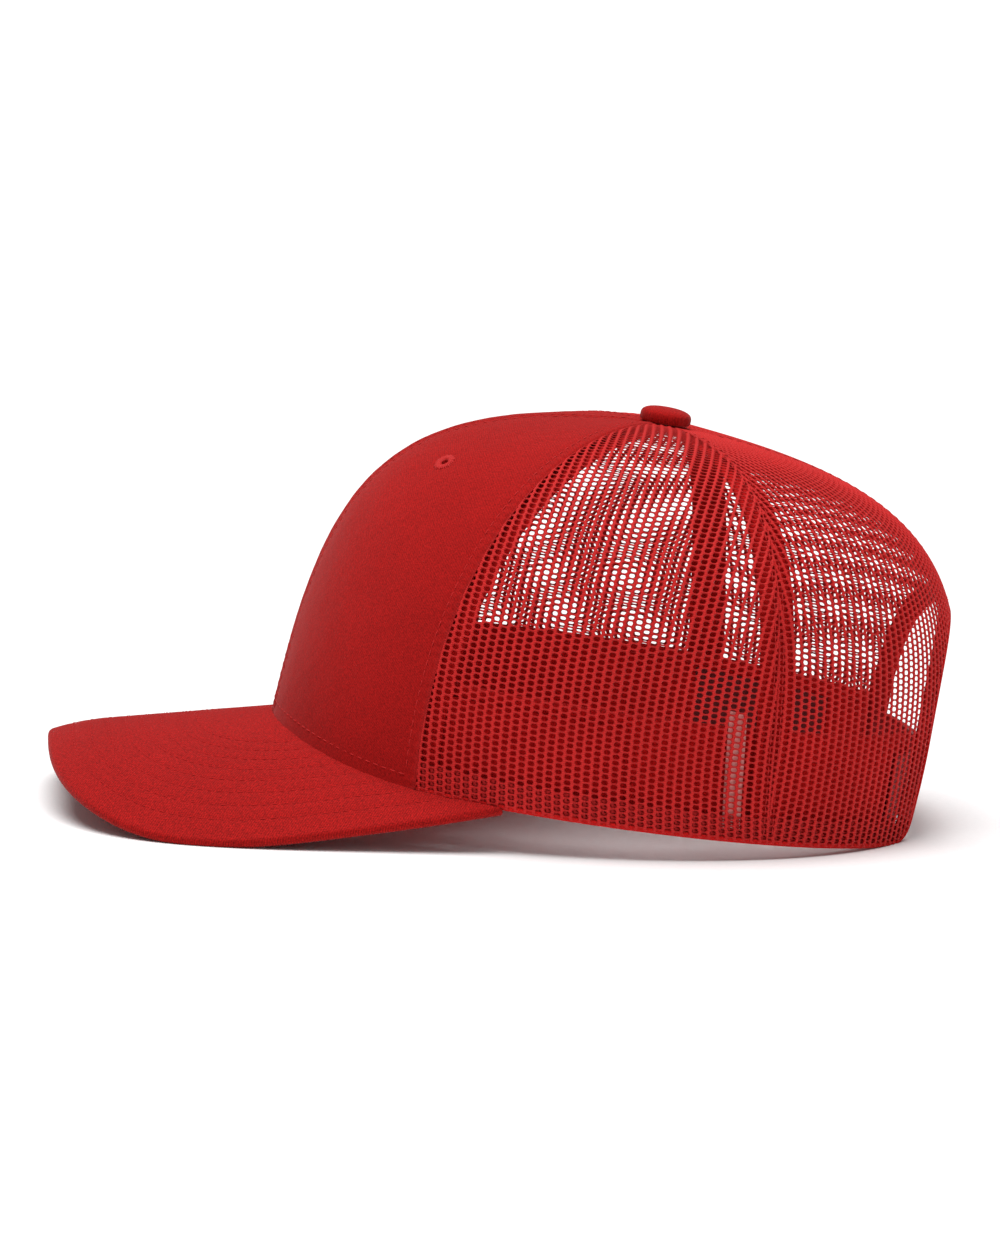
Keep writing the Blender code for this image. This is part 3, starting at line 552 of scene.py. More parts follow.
# ================================================================ materials
class Shader:
    """Builds one procedural material with short calls."""

    def __init__(self, name, roughness, **constants):
        self.material = bpy.data.materials.new(name)
        self.material.use_nodes = True
        self.tree = self.material.node_tree
        self.shader = self.tree.nodes["Principled BSDF"]
        self.shader.inputs["Roughness"].default_value = roughness
        for socket, value in constants.items():
            self.shader.inputs[socket.replace("_", " ")].default_value = value

    def node(self, kind, inputs=None, **settings):
        node = self.tree.nodes.new("ShaderNode" + kind)
        for key, value in settings.items():
            setattr(node, key, value)
        for key, value in (inputs or {}).items():
            socket = node.inputs[key]
            if isinstance(value, bpy.types.NodeSocket):
                self.tree.links.new(value, socket)
            else:
                socket.default_value = value
        return node

    def cloth(self, turn=0.0, stretch=(1.0, 1.0, 1.0)):
        """Cloth coordinates in metres, turned so that X runs across the pattern's lines."""
        source = self.node("UVMap", uv_map="cloth").outputs["UV"]
        return self.node("Mapping", {"Vector": source, "Rotation": (0, 0, math.radians(turn)),
                                     "Scale": stretch}).outputs["Vector"]

    def space(self, stretch=(1.0, 1.0, 1.0)):
        source = self.node("TexCoord").outputs["Object"]
        return self.node("Mapping", {"Vector": source, "Scale": stretch}).outputs["Vector"]

    def lines(self, vector, pitch, distortion=0.0, detail_scale=1.0):
        """Soft parallel ridges, pitch metres apart."""
        return self.node("TexWave", {"Vector": vector, "Scale": math.pi / 10 / pitch,
                                     "Distortion": distortion, "Detail": 2.0,
                                     "Detail Scale": detail_scale}).outputs["Fac"]

    def noise(self, vector, size, detail=3.0):
        """Noise whose features are about size metres wide."""
        return self.node("TexNoise", {"Vector": vector, "Scale": 1 / size,
                                      "Detail": detail}).outputs["Fac"]

    def maths(self, operation, a, b):
        return self.node("Math", {0: a, 1: b}, operation=operation).outputs[0]

    def weigh(self, a, share_a, b, share_b):
        """The sum of two factors, each with its weight."""
        return self.maths("ADD", self.maths("MULTIPLY", a, share_a),
                          self.maths("MULTIPLY", b, share_b))

    def blend(self, factor, dark, light):
        """Colour from dark to light as the factor goes from 0.25 to 0.75."""
        ramp = self.node("ValToRGB", {"Fac": factor})
        for stop, place, colour in zip(ramp.color_ramp.elements, (0.25, 0.75), (dark, light)):
            stop.position, stop.color = place, (*colour, 1)
        return ramp.outputs["Color"]

    def tint(self, colour, factor, low, high):
        """Lightens and darkens a colour as the factor varies."""
        scale = self.node("MapRange", {"Value": factor, "From Min": 0.3, "From Max": 0.7,
                                       "To Min": low, "To Max": high}).outputs["Result"]
        return self.node("VectorMath", {0: colour, 1: scale}, operation="MULTIPLY").outputs[0]

    def wear(self, colour, light, amount):
        """Rubs the raised edges lighter."""
        raised = self.node("MapRange", {"Value": self.node("NewGeometry").outputs["Pointiness"],
                                        "From Min": 0.52, "From Max": 0.62,
                                        "To Min": 0.0, "To Max": amount}).outputs["Result"]
        mix = self.node("Mix", data_type="RGBA")
        self.tree.links.new(raised, mix.inputs["Factor"])
        self.tree.links.new(colour, mix.inputs["A"])
        mix.inputs["B"].default_value = (*light, 1)
        return mix.outputs["Result"]

    def colour(self, socket):
        self.tree.links.new(socket, self.shader.inputs["Base Color"])

    def roughness(self, factor, low, high):
        spread = self.node("MapRange", {"Value": factor, "To Min": low, "To Max": high})
        self.tree.links.new(spread.outputs["Result"], self.shader.inputs["Roughness"])

    def bump(self, height, distance, strength=1.0):
        bump = self.node("Bump", {"Height": height, "Distance": distance, "Strength": strength})
        self.tree.links.new(bump.outputs["Normal"], self.shader.inputs["Normal"])


def cloth_sheen(weight, tint):
    return {"Sheen_Weight": weight, "Sheen_Roughness": 0.45, "Sheen_Tint": (*tint, 1)}


def make_twill(name, light, dark, pitch, sheen=0.11, relief=0.12 * MM, grain=0.29, worn=0.35):
    """Cotton twill: diagonal ridges of yarns, slubs, and soft unevenness of the dye."""
    kit = Shader(name, 0.8, **cloth_sheen(sheen, (1.0, 0.62, 0.60)), Specular_IOR_Level=0.08)
    ridges = kit.lines(kit.cloth(turn=TWILL_TURN), pitch, distortion=1.6, detail_scale=2.0)
    yarns = kit.noise(kit.cloth(turn=TWILL_TURN, stretch=(1.0, 0.28, 1.0)), pitch * 0.45)
    fuzz = kit.noise(kit.space(), 0.5 * MM)
    weave = kit.weigh(ridges, 0.4, yarns, 0.7)
    colour = kit.blend(weave, dark, light)
    colour = kit.tint(colour, kit.noise(kit.space(), 28 * MM), 0.95, 1.05)
    colour = kit.tint(colour, fuzz, 1.0 - grain, 1.0 + grain)
    kit.colour(kit.wear(colour, WORN_RED, worn) if worn else colour)
    kit.roughness(yarns, 0.78, 0.95)
    kit.bump(kit.maths("ADD", weave, kit.maths("MULTIPLY", fuzz, 0.6)), relief, 0.7)
    return kit.material


def make_net():
    """Knitted polyester: loops along every strand, a little shine."""
    kit = Shader("net_yarn", 0.6, **cloth_sheen(0.05, (1.0, 0.6, 0.58)), Specular_IOR_Level=0.14)
    strands = kit.lines(kit.cloth(turn=12.0), 0.24 * MM, distortion=2.2, detail_scale=3.0)
    loops = kit.lines(kit.cloth(turn=90.0), 0.61 * MM, distortion=1.2)
    yarn = kit.weigh(strands, 0.55, loops, 0.5)
    colour = kit.blend(yarn, NET_DEEP, NET_RED)
    # Painted highlight and painted shade: the yarn is lighter along the ribs and darker over the cross
    # strands, in bands at the net's column pitch.
    colour = kit.tint(colour, kit.lines(kit.cloth(), NET_PITCH), 0.90, 1.10)
    colour = kit.tint(colour, kit.noise(kit.space(), 22 * MM), 0.94, 1.06)
    kit.colour(kit.tint(colour, kit.noise(kit.space(), 0.5 * MM), 0.93, 1.07))
    kit.roughness(yarn, 0.48, 0.66)
    kit.bump(yarn, 0.10 * MM, 0.7)
    return kit.material


def make_tape():
    """Herringbone tape: short ridges that turn at a middle line."""
    kit = Shader("cotton_tape", 0.85, **cloth_sheen(0.05, (1.0, 0.6, 0.6)), Specular_IOR_Level=0.06)
    one = kit.lines(kit.cloth(turn=45.0), 0.55 * MM, distortion=0.8)
    other = kit.lines(kit.cloth(turn=-45.0), 0.55 * MM, distortion=0.8)
    across = kit.node("SeparateXYZ", {0: kit.cloth()}).outputs["X"]
    left = kit.maths("GREATER_THAN", across, 0.0)
    bones = kit.weigh(one, left, other, kit.maths("SUBTRACT", 1.0, left))
    fuzz = kit.noise(kit.space(), 0.4 * MM)
    colour = kit.blend(kit.weigh(bones, 0.6, fuzz, 0.5), TWILL_RED, BAND_RED)
    kit.colour(kit.tint(colour, kit.noise(kit.space(), 18 * MM), 0.92, 1.06))
    kit.roughness(fuzz, 0.78, 0.93)
    kit.bump(bones, 0.12 * MM, 0.6)
    return kit.material


def make_canvas():
    """Stiffened open cloth: a square grid of flat yarns with pinholes between them."""
    kit = Shader("buckram_canvas", 0.7, Specular_IOR_Level=0.3)
    grid = kit.maths("MAXIMUM", *(kit.lines(kit.cloth(turn=turn), 0.95 * MM, distortion=0.6)
                                  for turn in (0.0, 90.0)))
    size = kit.noise(kit.space(), 3 * MM)
    colour = kit.blend(grid, (0.10, 0.002, 0.003), CANVAS_RED)
    kit.colour(kit.tint(colour, size, 0.85, 1.12))
    kit.roughness(size, 0.55, 0.85)
    kit.bump(grid, 0.25 * MM, 0.8)
    return kit.material


def make_thread(name, light, dark, shine):
    """Twisted polyester thread with a soft shine."""
    kit = Shader(name, 0.55, **cloth_sheen(0.05, (1.0, 0.6, 0.6)), Specular_IOR_Level=shine)
    twist = kit.lines(kit.cloth(turn=35.0), 0.3 * MM, distortion=0.4)
    kit.colour(kit.blend(twist, dark, light))
    kit.roughness(twist, 0.42, 0.62)
    kit.bump(twist, 0.06 * MM, 0.8)
    return kit.material


def make_plastic():
    """Moulded polypropylene: soft gloss, flow marks, fine scratches."""
    kit = Shader("moulded_plastic", 0.38, Specular_IOR_Level=0.5)
    grain = kit.noise(kit.space(), 0.7 * MM, 4.0)
    flow = kit.noise(kit.space((0.25, 1.0, 1.0)), 5 * MM)
    scratches = kit.noise(kit.space((0.06, 1.0, 1.0)), 0.5 * MM, 2.0)
    colour = kit.tint(kit.blend(flow, PLASTIC_RED, (0.375, 0.009, 0.010)), grain, 0.96, 1.04)
    kit.colour(kit.wear(colour, (0.55, 0.12, 0.11), 0.3))
    kit.roughness(scratches, 0.26, 0.52)
    kit.bump(kit.maths("ADD", grain, kit.maths("MULTIPLY", scratches, 0.6)), 0.03 * MM, 0.6)
    return kit.material


def make_metal():
    """Plated steel, brushed round and a little dull."""
    kit = Shader("plated_steel", 0.35, Metallic=1.0)
    brushed = kit.noise(kit.space((1.0, 1.0, 9.0)), 0.8 * MM, 4.0)
    stain = kit.noise(kit.space(), 3 * MM)
    kit.colour(kit.tint(kit.blend(stain, (0.40, 0.40, 0.41), STEEL), brushed, 0.92, 1.06))
    kit.roughness(stain, 0.28, 0.5)
    kit.bump(brushed, 0.02 * MM, 0.5)
    return kit.material


def make_foam():
    """Open-cell foam: round cells, rough and dull."""
    kit = Shader("soft_foam", 0.95, Specular_IOR_Level=0.1)
    cells = kit.node("TexVoronoi", {"Vector": kit.space(), "Scale": 1 / (0.7 * MM)})
    kit.colour(kit.blend(cells.outputs["Distance"], FOAM_RED, (0.42, 0.005, 0.005)))
    kit.bump(cells.outputs["Distance"], 0.2 * MM, 0.7)
    return kit.material


def make_board():
    """Moulded board of the visor: black, with a fine grain."""
    kit = Shader("visor_board_plastic", 0.55, Specular_IOR_Level=0.4)
    grain = kit.noise(kit.space(), 0.9 * MM, 5.0)
    kit.colour(kit.tint(kit.blend(grain, BOARD_BLACK, (0.035, 0.033, 0.034)), grain, 0.9, 1.1))
    kit.roughness(grain, 0.45, 0.68)
    kit.bump(grain, 0.05 * MM, 0.7)
    return kit.material


def make_label(name, light, dark):
    """Satin ribbon: fine crosswise yarns and a little fuzz."""
    kit = Shader(name, 0.5, **cloth_sheen(0.1, (1.0, 1.0, 1.0)), Specular_IOR_Level=0.35)
    yarns = kit.lines(kit.cloth(turn=90.0), 0.22 * MM, distortion=0.5)
    fuzz = kit.noise(kit.space(), 0.6 * MM)
    kit.colour(kit.tint(kit.blend(yarns, dark, light), fuzz, 0.94, 1.05))
    kit.roughness(yarns, 0.42, 0.62)
    kit.bump(yarns, 0.05 * MM, 0.7)
    return kit.material


TWILL = make_twill("cotton_twill", TWILL_RED, TWILL_DEEP, 0.62 * MM)
# The visor's twill is a darker copy of the crown's twill: painted shade for the brim.
VISOR_SHADED_TWILL = make_twill("visor_twill_painted_shade", VISOR_SHADED_RED, VISOR_SHADED_DEEP, 0.66 * MM, relief=0.20 * MM,
                         grain=0.42, worn=0.0)
BAND_TWILL = make_twill("band_twill", BAND_RED, BAND_DEEP, 0.55 * MM, sheen=0.04)
NET = make_net()
TAPE = make_tape()
CANVAS = make_canvas()
THREAD = make_thread("sewing_thread", THREAD_RED, NET_DEEP, 0.2)
TWILL_THREAD = make_thread("twill_thread", TWILL_THREAD_RED, TWILL_DEEP, 0.08)
PLASTIC = make_plastic()
METAL = make_metal()
FOAM = make_foam()
BOARD = make_board()
PALE_LABEL = make_label("pale_satin", LABEL_PALE, (0.85, 0.30, 0.28))
DARK_LABEL = make_label("dark_satin", (0.180, 0.0045, 0.0050), LABEL_DARK)


# ================================================================ crown: front panels
def panel_grid(first, last, columns, rows, low=0.0, high=CROWN_END, inset=0.0):
    """Angles and shares of a grid between two seams, with a gap kept along both of them."""
    shares = np.linspace(low, high, rows + 1)[:, None]
    margin = inset / metres_per_degree((first + last) / 2, shares)
    angles = first + margin + (last - first - 2 * margin) * np.linspace(0, 1, columns + 1)
    return angles, np.repeat(shares, columns + 1, axis=1)


def build_front_panels():
    """Two panels of twill, drawn in along their seams and stitch rows."""
    for side, sign in SIDES:
        first, last = sorted((0.0, sign * PANEL_ANGLE))
        angles, shares = panel_grid(first, last, *TWILL_GRID)
        above_rim = shares * LOW_RISE
        depth = np.full(angles.shape, -TWILL_PROUD)
        for seam, pull in ((0.0, SEAM_PULL), (sign * PANEL_ANGLE, SIDE_PULL)):
            distance = np.abs(angles - seam) * metres_per_degree(seam, shares)
            depth += (TWILL_PROUD + pull[0]) * dip(distance, pull[1])
            depth += FURROW * dip(distance - TOPSTITCH_INSET, FURROW_WIDTH)
            ripple = PUCKER_HEIGHT * np.sin(above_rim / PUCKER_PITCH * math.pi * 2)
            depth += ripple * dip(distance - PUCKER_PLACE, PUCKER_WIDTH)
        plain = crown_point(angles, shares)
        from_eyelet = np.linalg.norm(plain - eyelet_place(sign)[0], axis=2)
        depth += EYELET_PULL[0] * dip(from_eyelet, EYELET_PULL[1])
        depth += wander(angles * FRONT_TURN, above_rim, TWILL_WANDER, seed=sign)
        outer = crown_inside(angles, shares, depth)
        inner = crown_inside(angles, shares, depth + TWILL_THICKNESS)
        piece = slab(f"front_twill_{side}", outer, inner, TWILL, cloth_uv(plain))
        punch_eyelet(piece, sign)
        finish_sheet(piece, "twill", f"front_panel_{side}")
        build_buckram(side, sign)


def eyelet_place(sign):
    """Middle and outward normal of an eyelet."""
    angle = sign * EYELET_ANGLE
    share = float(share_at_height(angle, EYELET_HEIGHT))
    return crown_point(angle, share), crown_normal(angle, share)


def punch_eyelet(piece, sign):
    """Cut the eyelet's round hole through a layer."""
    middle, normal = eyelet_place(sign)
    bpy.ops.mesh.primitive_cylinder_add(vertices=EYELET_SIDES, radius=EYELET_HOLE,
                                        depth=10 * MM, location=middle)
    punch = bpy.context.object
    punch.rotation_euler = Vector(normal).to_track_quat("Z", "Y").to_euler()
    cut = piece.modifiers.new("Eyelet", "BOOLEAN")
    cut.object = punch
    cut.solver = "EXACT"
    bpy.context.view_layer.update()
    whole = piece.evaluated_get(bpy.context.evaluated_depsgraph_get())
    piece.data = bpy.data.meshes.new_from_object(whole)
    piece.modifiers.clear()
    bpy.data.objects.remove(punch, do_unlink=True)


def build_buckram(side, sign):
    """Stiffener behind a front panel, short of the seams."""
    first, last = sorted((0.0, sign * (PANEL_ANGLE - 1)))
    angles, shares = panel_grid(first, last, 40, 60, *BUCKRAM_SPAN, BUCKRAM_INSET)
    piece, outer = crown_layer(f"stiffener_{side}", angles, shares, BUCKRAM_DEPTH,
                               BUCKRAM_THICKNESS, CANVAS)
    punch_eyelet(piece, sign)
    finish_sheet(piece, "buckram", f"buckram_{side}")


# ================================================================ crown: knitted net
class Cloth:
    """Flat cloth of one panel laid on the crown, measured from the panel's straight grain line."""
    ROWS = 170
    COLUMNS = 137
    SPARE = 4.0                    # degrees of cloth past each seam
    REACH = 0.075                  # metres of flat cloth each way from the grain line

    def __init__(self, centre):
        half = PANEL_ANGLE / 2
        self.centre = centre
        self.low, self.high = centre - half, centre + half
        self.shares = np.linspace(0.0, CROWN_END, self.ROWS)
        angles = np.linspace(self.low - self.SPARE, self.high + self.SPARE, self.COLUMNS)
        middle = self.COLUMNS // 2
        grid = crown_point(angles[None, :], self.shares[:, None])
        across = np.linalg.norm(np.diff(grid, axis=1), axis=2).cumsum(axis=1)
        across = np.concatenate([np.zeros((len(grid), 1)), across], axis=1)
        across -= across[:, middle][:, None]
        self.ups = distances(grid[:, middle])
        self.length = self.ups[-1]
        self.reach = np.linspace(-self.REACH, self.REACH, 301)
        self.table = np.array([np.interp(self.reach, row, angles) for row in across])
        self.low_edge = np.array([np.interp(self.low, angles, row) for row in across])
        self.high_edge = np.array([np.interp(self.high, angles, row) for row in across])

    def edges(self, up):
        return np.interp(up, self.ups, self.low_edge), np.interp(up, self.ups, self.high_edge)

    def place(self, across, up):
        """Pattern angle and share of points of the flat cloth."""
        row = np.interp(up, self.ups, np.arange(len(self.ups)))
        column = np.interp(across, self.reach, np.arange(len(self.reach)))
        low_row = np.minimum(row.astype(int), len(self.ups) - 2)
        low_column = np.minimum(column.astype(int), len(self.reach) - 2)
        v, u = row - low_row, column - low_column

        def read(row):
            return (1 - u) * self.table[row, low_column] + u * self.table[row, low_column + 1]

        angle = (1 - v) * read(low_row) + v * read(low_row + 1)
        return np.clip(angle, self.low, self.high), np.interp(up, self.ups, self.shares)


def net_ring():
    """Outline of one cell, how far out towards it the hole reaches, and where its ribs are."""
    half_x, half_y = NET_PITCH / 2, NET_ROW / 2
    waist, bulge = half_x - NET_ZIGZAG, half_x + NET_ZIGZAG
    right = [(waist, -half_y), (bulge, 0.0), (waist, half_y)]
    top = [(waist * share, half_y) for share in (0.5, 0.0, -0.5)]
    outline = np.array(right + top)
    outline = np.concatenate([outline, -outline])
    direction = unit(outline)
    hole = (np.abs(direction[:, 0] / NET_HOLE[0]) ** NET_HOLE_POWER
            + np.abs(direction[:, 1] / NET_HOLE[1]) ** NET_HOLE_POWER) ** (-1 / NET_HOLE_POWER)
    return outline, hole / np.linalg.norm(outline, axis=1), np.array(NET_RIB_SHARES * 2)


def polygon_area(points):
    following = np.roll(points, -1, axis=-2)
    return 0.5 * np.abs((points[..., 0] * following[..., 1]
                         - points[..., 1] * following[..., 0]).sum(axis=-1))


def net_cells(cloth, height, shift):
    """Cell outlines on the flat cloth, trimmed to the panel, and their untrimmed areas."""
    outline = net_ring()[0]
    low, high = cloth.edges(cloth.ups)
    columns = np.arange(math.floor(low.min() / NET_PITCH) - 1,
                        math.ceil(high.max() / NET_PITCH) + 2)
    rows = np.arange(-1, math.ceil(height / NET_ROW) + 2)
    column, row = (part.ravel() for part in np.meshgrid(columns, rows))
    centre = np.stack([(column + shift) * NET_PITCH,
                       (row + 0.5 * (column % 2) + shift) * NET_ROW], axis=1)
    cells = centre[:, None] + outline[None]
    uneven = np.stack([wander(cells[..., 0], cells[..., 1], NET_WANDER, cloth.centre),
                       wander(cells[..., 1], cells[..., 0], NET_WANDER, cloth.centre + 5)], axis=2)
    cells = cells + uneven
    full = polygon_area(cells)
    cells[..., 1] = np.clip(cells[..., 1], 0.0, height)
    low, high = cloth.edges(cells[..., 1])
    cells[..., 0] = np.clip(cells[..., 0], low, high)
    kept = polygon_area(cells) > NET_DROP * full
    return cells[kept], full[kept]


def arch_level(x, z):
    """1 on the outline of the arch opening, less inside it."""
    over = np.maximum(z - ARCH_SPRING, 0.0) / (ARCH_TOP - ARCH_SPRING)
    return ((np.abs(x) / ARCH_HALF_WIDTH) ** ARCH_POWER + over ** ARCH_POWER) ** (1 / ARCH_POWER)


def trim_to_arch(angle, share):
    """Move points that lie in the arch opening out to its edge and its rounded foot."""
    point = crown_point(angle, share)
    x, z = point[..., 0], point[..., 2]
    level = np.maximum(arch_level(x, z), 1e-3)
    inside = level < 1.0
    new_x = np.where(inside, x / level, x)
    new_z = np.where(inside & (z > ARCH_SPRING), ARCH_SPRING + (z - ARCH_SPRING) / level, z)
    corner_x, corner_z = ARCH_HALF_WIDTH + ARCH_CORNER, ARCH_CORNER
    side = np.where(new_x < 0, -1.0, 1.0)
    off_x, off_z = corner_x - np.abs(new_x), corner_z - new_z
    far = np.hypot(off_x, off_z)
    cut = (off_x > 0) & (off_z > 0) & (far > ARCH_CORNER)
    new_x = np.where(cut, side * (corner_x - off_x / far * ARCH_CORNER), new_x)
    new_z = np.where(cut, corner_z - off_z / far * ARCH_CORNER, new_z)
    moved = inside | cut
    at_angle, at_share = place_on_back(new_x[moved], new_z[moved])
    angle, share = angle.copy(), share.copy()
    turned = np.where(at_angle - angle[moved] > 180.0, at_angle - 360.0, at_angle)
    angle[moved], share[moved] = turned, at_share
    return angle, share, moved


def net_layer(cloth, height, depth=NET_DEPTH, flatten=1.0, shift=0.0, arch=False):
    """Points, faces, cloth places and flat area of one layer of net with its real holes.

    Each cell is a few rings, from the crest of its yarns down to the hole's edge and back.
    """
    _, hole, rib = net_ring()
    cells, full = net_cells(cloth, height, shift)
    angle, share = cloth.place(cells[..., 0], cells[..., 1])
    size = polygon_area(cells) / full
    if arch:
        flat = crown_point(angle, share)[..., ::2]
        angle, share, moved = trim_to_arch(angle, share)
        trimmed = crown_point(angle, share)[..., ::2]
        size = size * polygon_area(trimmed) / np.maximum(polygon_area(flat), 1e-12)
        kept = (size > NET_DROP) & ~moved.all(axis=1)
        cells, angle, share, size = cells[kept], angle[kept], share[kept], size[kept]
    size = size[:, None]
    is_open = size > NET_LEAST
    hole = hole[None] * np.where(is_open, 0.55 + 0.45 * np.minimum(size, 1.0), 0.03)
    half = (NET_CROSS + (NET_RIB - NET_CROSS) * rib)[None] * flatten
    middle_angle, middle_share, middle_cell = (part.mean(axis=1, keepdims=True)
                                               for part in (angle, share, cells))
    rings, uv = [], []
    for reach, level in NET_RINGS:
        inward = 1 - (1 - hole) * reach
        rings.append(crown_inside(middle_angle + (angle - middle_angle) * inward,
                                  middle_share + (share - middle_share) * inward,
                                  depth - level * half))
        uv.append(middle_cell + (cells - middle_cell) * inward[..., None])
    points, uv = np.stack(rings, axis=1), np.stack(uv, axis=1)
    index = np.arange(points[..., 0].size).reshape(points.shape[:3])
    following = np.roll(index, -1, axis=2)
    quads = [np.stack([index[:, ring], following[:, ring], following[:, ring + 1],
                       index[:, ring + 1]], axis=-1).reshape(-1, 4)
             for ring in range(len(NET_RINGS) - 1)]
    points, uv = points.reshape(-1, 3), uv.reshape(-1, 2)
    lift_to(points, FLOOR_CLEARANCE)
    _, first, same = np.unique(np.round(points / NET_MERGE).astype(np.int64), axis=0,
                               return_index=True, return_inverse=True)
    same = same.ravel()
    edge = perimeter(*(same[ring].reshape(-1) for ring in (
        index[:, 0], following[:, 0], index[:, -1], following[:, -1])))
    area = size.sum() * NET_PITCH * NET_ROW
    return points[first], np.concatenate([same[np.concatenate(quads)], edge]), uv[first], area


def perimeter(start, end, low_start, low_end):
    """Faces that close the cloth's edge, where an outline belongs to one cell only."""
    pairs = np.sort(np.stack([start, end], axis=1), axis=1)
    _, which, count = np.unique(pairs, axis=0, return_inverse=True, return_counts=True)
    alone = (count[which.ravel()] == 1) & (start != end)
    return np.stack([end, start, low_start, low_end], axis=1)[alone]


def whole_faces(quads):
    """Quads with four corners, and triangles from those that have two corners in one place."""
    following = np.roll(quads, -1, axis=1)
    double = quads == following
    proper = quads[~double.any(axis=1)]
    thin = quads[double.sum(axis=1) == 1]
    dropped = (thin == np.roll(thin, -1, axis=1)).argmax(axis=1)
    kept = (dropped[:, None] + np.array([1, 2, 3])) % 4
    triangles = np.take_along_axis(thin, kept, axis=1)
    return [proper, triangles[triangles[:, 0] != triangles[:, 2]]]


def build_net_panels():
    """Each panel of net is one cloth with its lower edge folded up as a hem."""
    for part, centre, arch in (("side", 90.0, False), ("back", 150.0, True)):
        for side, sign in SIDES:
            cloth = Cloth(sign * centre)
            net = net_layer(cloth, cloth.length, arch=arch)
            hem = net_layer(cloth, HEM_HEIGHT, HEM_DEPTH, HEM_FLATTEN, HEM_SHIFT, arch)
            points, faces, uv = (np.concatenate(pair) for pair in (
                (net[0], hem[0]), (net[1], hem[1] + len(net[0])), (net[2], hem[2])))
            piece = new_object(f"{part}_net_{side}", points, whole_faces(faces), NET, uv)
            follow(piece, "mesh", f"{part}_mesh_{side}")


# ================================================================ seams, rim and bands
def build_tape(name, node, angle, low, depth):
    """Tape over a seam, narrower towards the button, with two rows of stitches."""
    shares = np.linspace(low, TAPE_END, 131)
    from_button = np.linalg.norm(crown_point(angle, shares) - np.array(APEX), axis=1)
    half_width = np.minimum(TAPE_HALF_WIDTH, TAPE_TAPER * from_button)
    reach = half_width / metres_per_degree(angle, shares)
    across = np.linspace(-1, 1, 17)
    angles = angle + reach[:, None] * across[None]
    shares = np.repeat(shares[:, None], len(across), axis=1)
    crease = TAPE_CREASE * dip(np.abs(across) - TAPE_ROW, 0.12)
    piece, outer = crown_layer(name, angles, shares, depth + np.broadcast_to(-crease, angles.shape),
                               TAPE_THICKNESS, TAPE)
    finish_sheet(piece, "tape", node)
    thread = Thread()
    for edge in (-TAPE_ROW, TAPE_ROW):
        column = int(round((edge + 1) / 2 * (len(across) - 1)))
        crown_row(thread, angles[:, column], shares[:, column],
                  depth + TAPE_THICKNESS - STITCH_SINK, inward=True)
    thread.finish(f"{name}_stitches")


def build_seam_tapes():
    over_arch = float(share_at_height(180.0, ARCH_TOP + BINDING_WIDTH + 2 * MM))
    build_tape("front_tape", "front_seam_tape", 0.0, TAPE_START, FRONT_TAPE_DEPTH)
    build_tape("back_tape", "back_seam_tape", 180.0, over_arch, MESH_TAPE_DEPTH)
    for side, sign in SIDES:
        for seam, angle, depth, under in (("front_side", PANEL_ANGLE, FRONT_TAPE_DEPTH, "stiffener"),
                                          ("side_back", 2 * PANEL_ANGLE, MESH_TAPE_DEPTH, "back_net")):
            build_tape(f"{seam}_tape_{side}", f"{seam}_seam_tape_{side}", sign * angle, TAPE_START,
                       depth)


def build_topstitching():
    """The rows beside every seam on the outside of the crown."""
    twill, net = Thread(), Thread()
    over_arch = float(share_at_height(180.0, ARCH_TOP + 3 * MM))
    for seam, rows in ((0.0, (-1, 1)), (PANEL_ANGLE, (-1,)), (-PANEL_ANGLE, (1,))):
        shares = np.linspace(*TWILL_ROW_SPAN, 260)
        for row in rows:
            offset = TOPSTITCH_INSET / metres_per_degree(seam, shares)
            crown_row(twill, seam + row * offset, shares, -TWILL_PROUD + FURROW * 0.7)
    start, end = NET_ROW_SPAN
    for seam, low in ((2 * PANEL_ANGLE, start), (-2 * PANEL_ANGLE, start), (180.0, over_arch)):
        shares = np.linspace(low, end, 240)
        for row in (-1, 1):
            offset = NET_INSET / metres_per_degree(seam, shares)
            crown_row(net, seam + row * offset, shares, STITCH_SINK)
    for sign in (-1, 1):
        angles = np.linspace(1.5, PANEL_ANGLE - 1.5, 160) * sign
        crown_row(twill, angles, visor_root_share(angles) + ROOT_INSET / LOW_RISE,
                  -TWILL_PROUD + STITCH_SINK)
    twill.finish("front_topstitching")
    net.finish("net_topstitching")


def tube_along(name, path, radius, material, slot, squash, normals):
    """A roll of cloth along a path, flattened across or along the surface's normal."""
    around = 10
    side, up = path_frame(path, normals)
    turn = np.arange(around) / around * 2 * math.pi
    ring = (side[:, None] * np.cos(turn)[None, :, None] * squash[0]
            + up[:, None] * np.sin(turn)[None, :, None] * squash[1])
    points = path[:, None] + ring * radius
    lift_to(points, FLOOR_CLEARANCE)
    uv = np.stack([np.repeat(distances(path)[:, None], around, axis=1),
                   np.repeat(turn[None] * radius, len(path), axis=0)], axis=2)
    piece = new_object(name, points.reshape(-1, 3), tube_faces(len(path) - 1, around), material,
                       uv.reshape(-1, 2))
    follow(piece, slot)


def arch_corner_angle():
    """Pattern angle on the rim where the rounded foot of the opening begins."""
    angles = np.linspace(130.0, 175.0, 400)
    x = crown_point(angles, 0.0)[:, 0]
    return float(np.interp(-(ARCH_HALF_WIDTH + ARCH_CORNER), -x, angles))


def build_rim():
    """The folded edge of the cloth all along the rim, between outer wall and sweatband."""
    end = arch_corner_angle()
    angles = np.linspace(-end, end, 420)
    depth, radius = RIM_ROLL
    path = crown_inside(angles, np.zeros(angles.shape), depth)
    path[:, 2] += RIM_LIFT
    tube_along("rim_fold", path, radius, BAND_TWILL, "twill", (1.0, 0.55),
               crown_normal(angles, np.zeros(angles.shape)))


